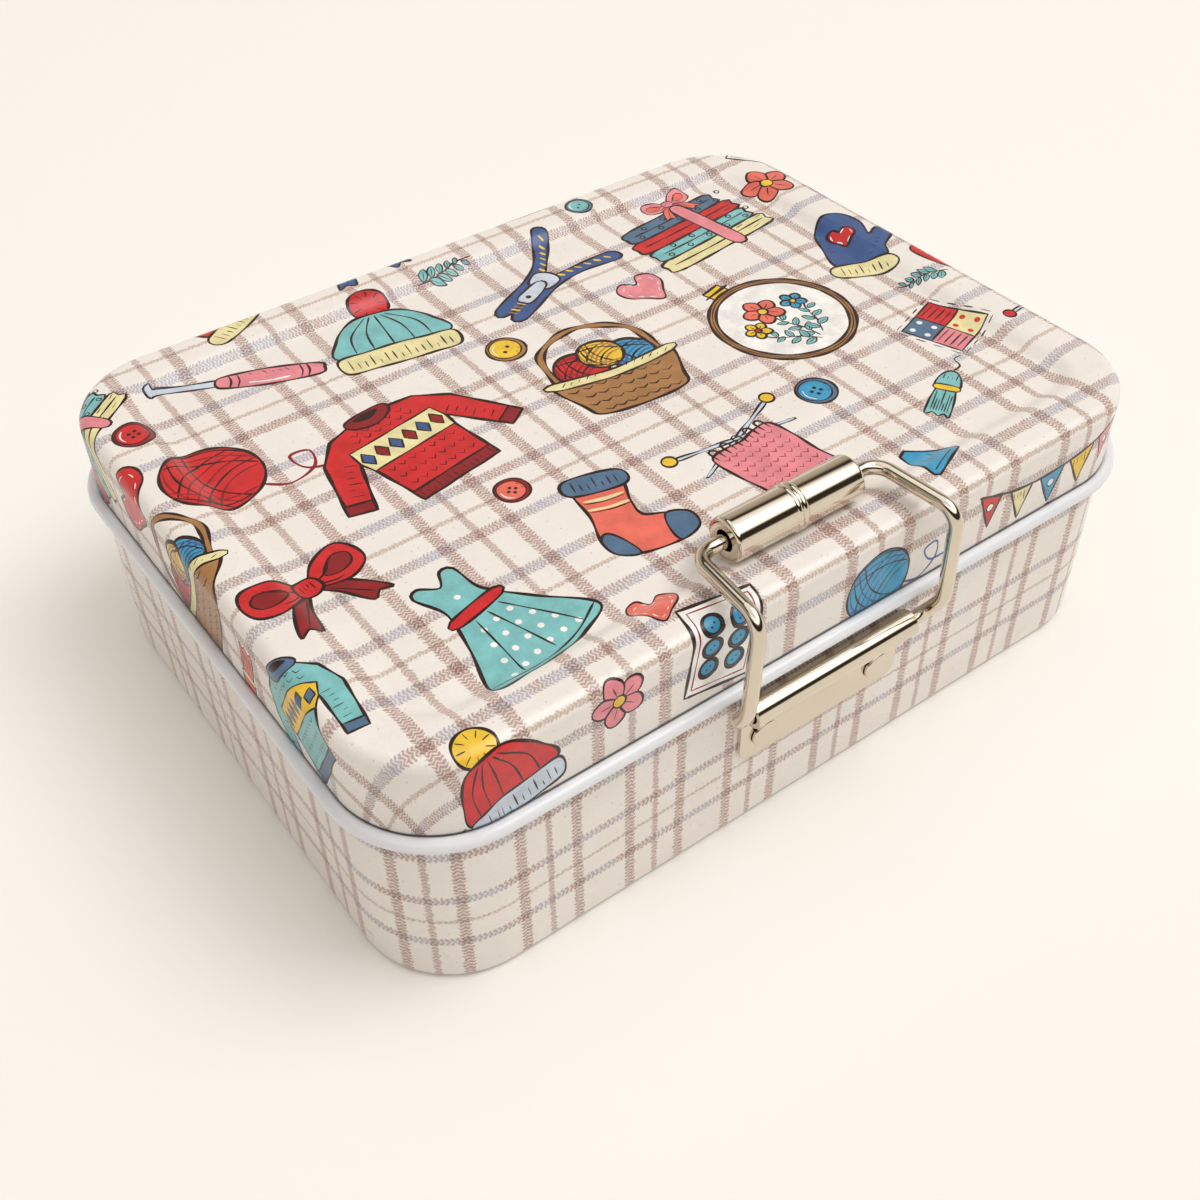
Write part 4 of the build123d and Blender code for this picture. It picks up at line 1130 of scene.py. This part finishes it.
def turned_piece(name, profile, base, axis, body, node, steps, half=False):
    """Spin (along, radius) points in mm round an axis through base, and mirror a half profile across X."""
    bm = bmesh.new()
    axis = Vector(axis)
    side = axis.orthogonal().normalized()
    chain(bm, [Vector(base) + axis * along + side * radius for along, radius in profile])
    bmesh.ops.spin(bm, geom=bm.edges[:] + bm.verts[:], cent=Vector(base) * MM, axis=axis, angle=2 * pi,
                   steps=steps, use_merge=True)
    merge(bm)
    if half:
        mirror(bm, "X")
    new_piece(name, bm, [nickel], body, node, sharp=TURNED_EDGE)


GRIP_RADIUS, GRIP_END, GRIP_HOLE, GRIP_BEND, GRIP_LIP, GRIP_SHEET = 4.9, 16.5, 2.3, 0.9, 0.3, 0.6
RING, RING_MIDDLE = 0.75, 4.45
RING_CUT = asin((GRIP_RADIUS - RING_MIDDLE) / RING)              # where the ring's arc leaves the tube
ring_arc = [(RING - RING * cos(a), RING_MIDDLE + RING * sin(a))
            for a in np.linspace(RING_CUT, pi - RING_CUT, 9)]
ending, _, _ = walk((GRIP_END - GRIP_BEND, GRIP_RADIUS), 0, [
    (GRIP_BEND, -90), (GRIP_RADIUS - GRIP_BEND - GRIP_HOLE - GRIP_LIP, 0), (GRIP_LIP, -180), (1.1, 0),
    (0.45, 90)], 12)
grip_profile = [(0, GRIP_RADIUS), *ring_arc, *map(tuple, ending), (0, GRIP_RADIUS - GRIP_SHEET)]
turned_piece("grip_tube", grip_profile, (0, GRIP_Y, GRIP_Z), (1, 0, 0), "grip", "grip_sleeve", 96, half=True)

# %% Turn the rivets of the plate
def rivet(name, node, body, base, axis, head, height, shank, stack, tail, tail_height):
    """A flat round head, a shank through the sheets, and the tail that was clinched over inside."""
    lip = 0.6 * height
    profile, _, _ = walk((height, 0), 90, [
        (head - lip - 0.3, 0), (1.2, 14), (lip * 0.8, 76), (height * 0.3, 0), (0, 90), (head - shank, 0),
        (0, -90), (stack, 0), (0, -90), (tail - shank, 0), (0, 90), (tail_height / 2, 0),
        (tail_height / 2, 90), (tail - tail_height / 2, 0)], 12)
    profile[:, 1] = np.maximum(profile[:, 1], 0)
    profile[-1, 1] = 0
    turned_piece(name, profile, base, axis, body, node, 48)


PLATE_FACE, PLATE_RIVET_X, PLATE_RIVET_Z = -76.1, 15.8, 27.45
PLATE_RIVET = (3.5, 1.0, 1.3, 1.6, 2.3, 0.6)              # head, its height, shank, sheets, tail, its height
HINGE_RIVET = (2.1, 0.8, 1.0, 1.3, 2.0, 0.6)
SIDES = (("left", -1), ("right", 1))
for side, way in SIDES:
    rivet(f"front_rivet_{side}", f"plate_rivet_{side}", "box",
          (way * PLATE_RIVET_X, PLATE_FACE, PLATE_RIVET_Z), (0, -1, 0), *PLATE_RIVET)

# %% [markdown]
# ## Sheet parts of the hardware
#
# The front plate and the hinge leaves are strips of sheet, cut out flat, slotted where a knuckle of the
# other leaf goes, and rolled round a pin. Here the walk gives the strip's line seen from the end, the line
# is pushed along X, the slot's faces are deleted, the corners are rounded, and a Solidify modifier gives the
# sheet its thickness and a Bevel modifier its tumbled edges.

# %% Bend a strip
TUMBLED = 0.14                                            # mm, how far a sheet's edges are rounded


def bent_strip(name, line_points, stations, thickness, corner, body, node, slot=None, tail=None):
    """A strip bent along (y, z) points. stations are X places of its edges; slot says which faces are cut
    out, and tail is the line of a tongue that stands out between the two middle stations."""
    bm = bmesh.new()
    edges = chain(bm, [(stations[0], y, z) for y, z in line_points])
    for left, right in zip(stations, stations[1:]):
        edges = push(bm, edges, (right - left, 0, 0))
    merge(bm)
    if slot:
        bmesh.ops.delete(bm, geom=[face for face in bm.faces if slot(face.calc_center_median() / MM)],
                         context="FACES")
    if tail:
        push(bm, chain(bm, [(stations[1], y, z) for y, z in tail]), (stations[2] - stations[1], 0, 0))
    end = Vector((0, *line_points[0]))
    tips = [vert for vert in bm.verts if len(vert.link_faces) == 1 and
            (Vector((0, vert.co.y, vert.co.z)) / MM - end).length < HAIR]
    bmesh.ops.bevel(bm, geom=tips, offset=corner * MM, offset_type="OFFSET", segments=8, profile=0.5,
                    affect="VERTICES", material=-1)
    new_piece(name, bm, [nickel], body, node, extra=(
        ("SOLIDIFY", {"thickness": thickness * MM, "offset": 0, "use_even_offset": True}),
        ("BEVEL", {"width": TUMBLED * MM, "segments": 2, "limit_method": "ANGLE",
                   "angle_limit": radians(40)})))


PLATE_SHEET, PLATE_BOTTOM, PLATE_HALF, PLATE_CORNER, PLATE_KNUCKLE = 1.1, 21.45, 22.0, 3.5, 2.5
plate_line, _, _ = walk((PLATE_FACE + PLATE_SHEET / 2, PLATE_BOTTOM), 90,
                        [(KNUCKLE_Z - PLATE_BOTTOM, 0), (PLATE_KNUCKLE, 303)], 6)
bent_strip("front_plate", plate_line, (-PLATE_HALF, PLATE_HALF), PLATE_SHEET, PLATE_CORNER, "box",
           "handle_plate")

# %% [markdown]
# The photograph hides the hinges. They are the kind such a tin has: two small leaf hinges, each with two
# knuckles on the body's leaf and one on the lid's, a headed pin, and a small tail on the lid's knuckle that
# stops the lid.

# %% Make both hinges
HINGE_X, HINGE_Y, HINGE_Z, LEAF, KNUCKLE = 52.0, 80.75, 46.6, 0.8, 1.45
LEAF_MIDDLE, LEAF_HALF, LEAF_CORNER, LEAF_TOP, LEAF_BOTTOM = 75.4, 13.0, 2, 60, 19
LOWER_SLOT, UPPER_SLOT, SLOT_FROM_Z, SLOT_FROM_Y = 5.3, 5, 44.45, 78.6
TAIL_ANGLE, TAIL_TIP = 4.4, 3.05                          # degrees above +Y, mm from the pin's axis
STUD_X, STUD_Y, STUDS = 7.5, 75.8, (("body", "box", 26), ("lid", "lid", 54.525))
lower_line, _, _ = walk((LEAF_MIDDLE, LEAF_BOTTOM), 90, [
    (18.086, 0), (1, -45), (4.687, 0), (1, 45), (2.636, 0), (2.15, 0), (KNUCKLE, -318)])
upper_line, _, _ = walk((LEAF_MIDDLE, LEAF_TOP), 270, [
    (10.95, 0), (1, 90), (2.2, 0), (2.15, 0), (KNUCKLE, -290)])
tail_way = np.array((cos(radians(TAIL_ANGLE)), sin(radians(TAIL_ANGLE))))
tail_line = [(HINGE_Y, HINGE_Z) + tail_way * far for far in (KNUCKLE, TAIL_TIP)]
PIN_HEAD = [(1.24, 0), (0.36, -90), (0.24, 0), (0, -90), (0.6, 0)]
pin_profile, _, _ = walk((-13.6, 0), 90, [*PIN_HEAD, (0, 90), (26, 0), (0, 90), *PIN_HEAD[::-1]], 15)
for side, way in SIDES:
    x = way * HINGE_X
    lower, upper = ([x - LEAF_HALF, x - slot, x + slot, x + LEAF_HALF] for slot in (LOWER_SLOT, UPPER_SLOT))
    bent_strip(f"hinge_{side}_lower", lower_line, lower, LEAF, LEAF_CORNER, "box", f"hinge_{side}_body_leaf",
               lambda spot: abs(spot.x - x) < LOWER_SLOT and spot.z > SLOT_FROM_Z)
    bent_strip(f"hinge_{side}_upper", upper_line, upper, LEAF, LEAF_CORNER, "lid", f"hinge_{side}_lid_leaf",
               lambda spot: abs(spot.x - x) > UPPER_SLOT and spot.y > SLOT_FROM_Y, tail_line)
    turned_piece(f"hinge_{side}_pintle", pin_profile, (x, HINGE_Y, HINGE_Z), (1, 0, 0), "box",
                 f"hinge_{side}_pin", 32)
    for leaf, body, z in STUDS:
        for edge, off in (("inner", -1), ("outer", 1)):
            rivet(f"hinge_{side}_{leaf}_stud_{edge}", f"hinge_{side}_{leaf}_rivet_{edge}", body,
                  (x + off * way * STUD_X, STUD_Y, z), (0, 1, 0), *HINGE_RIVET)
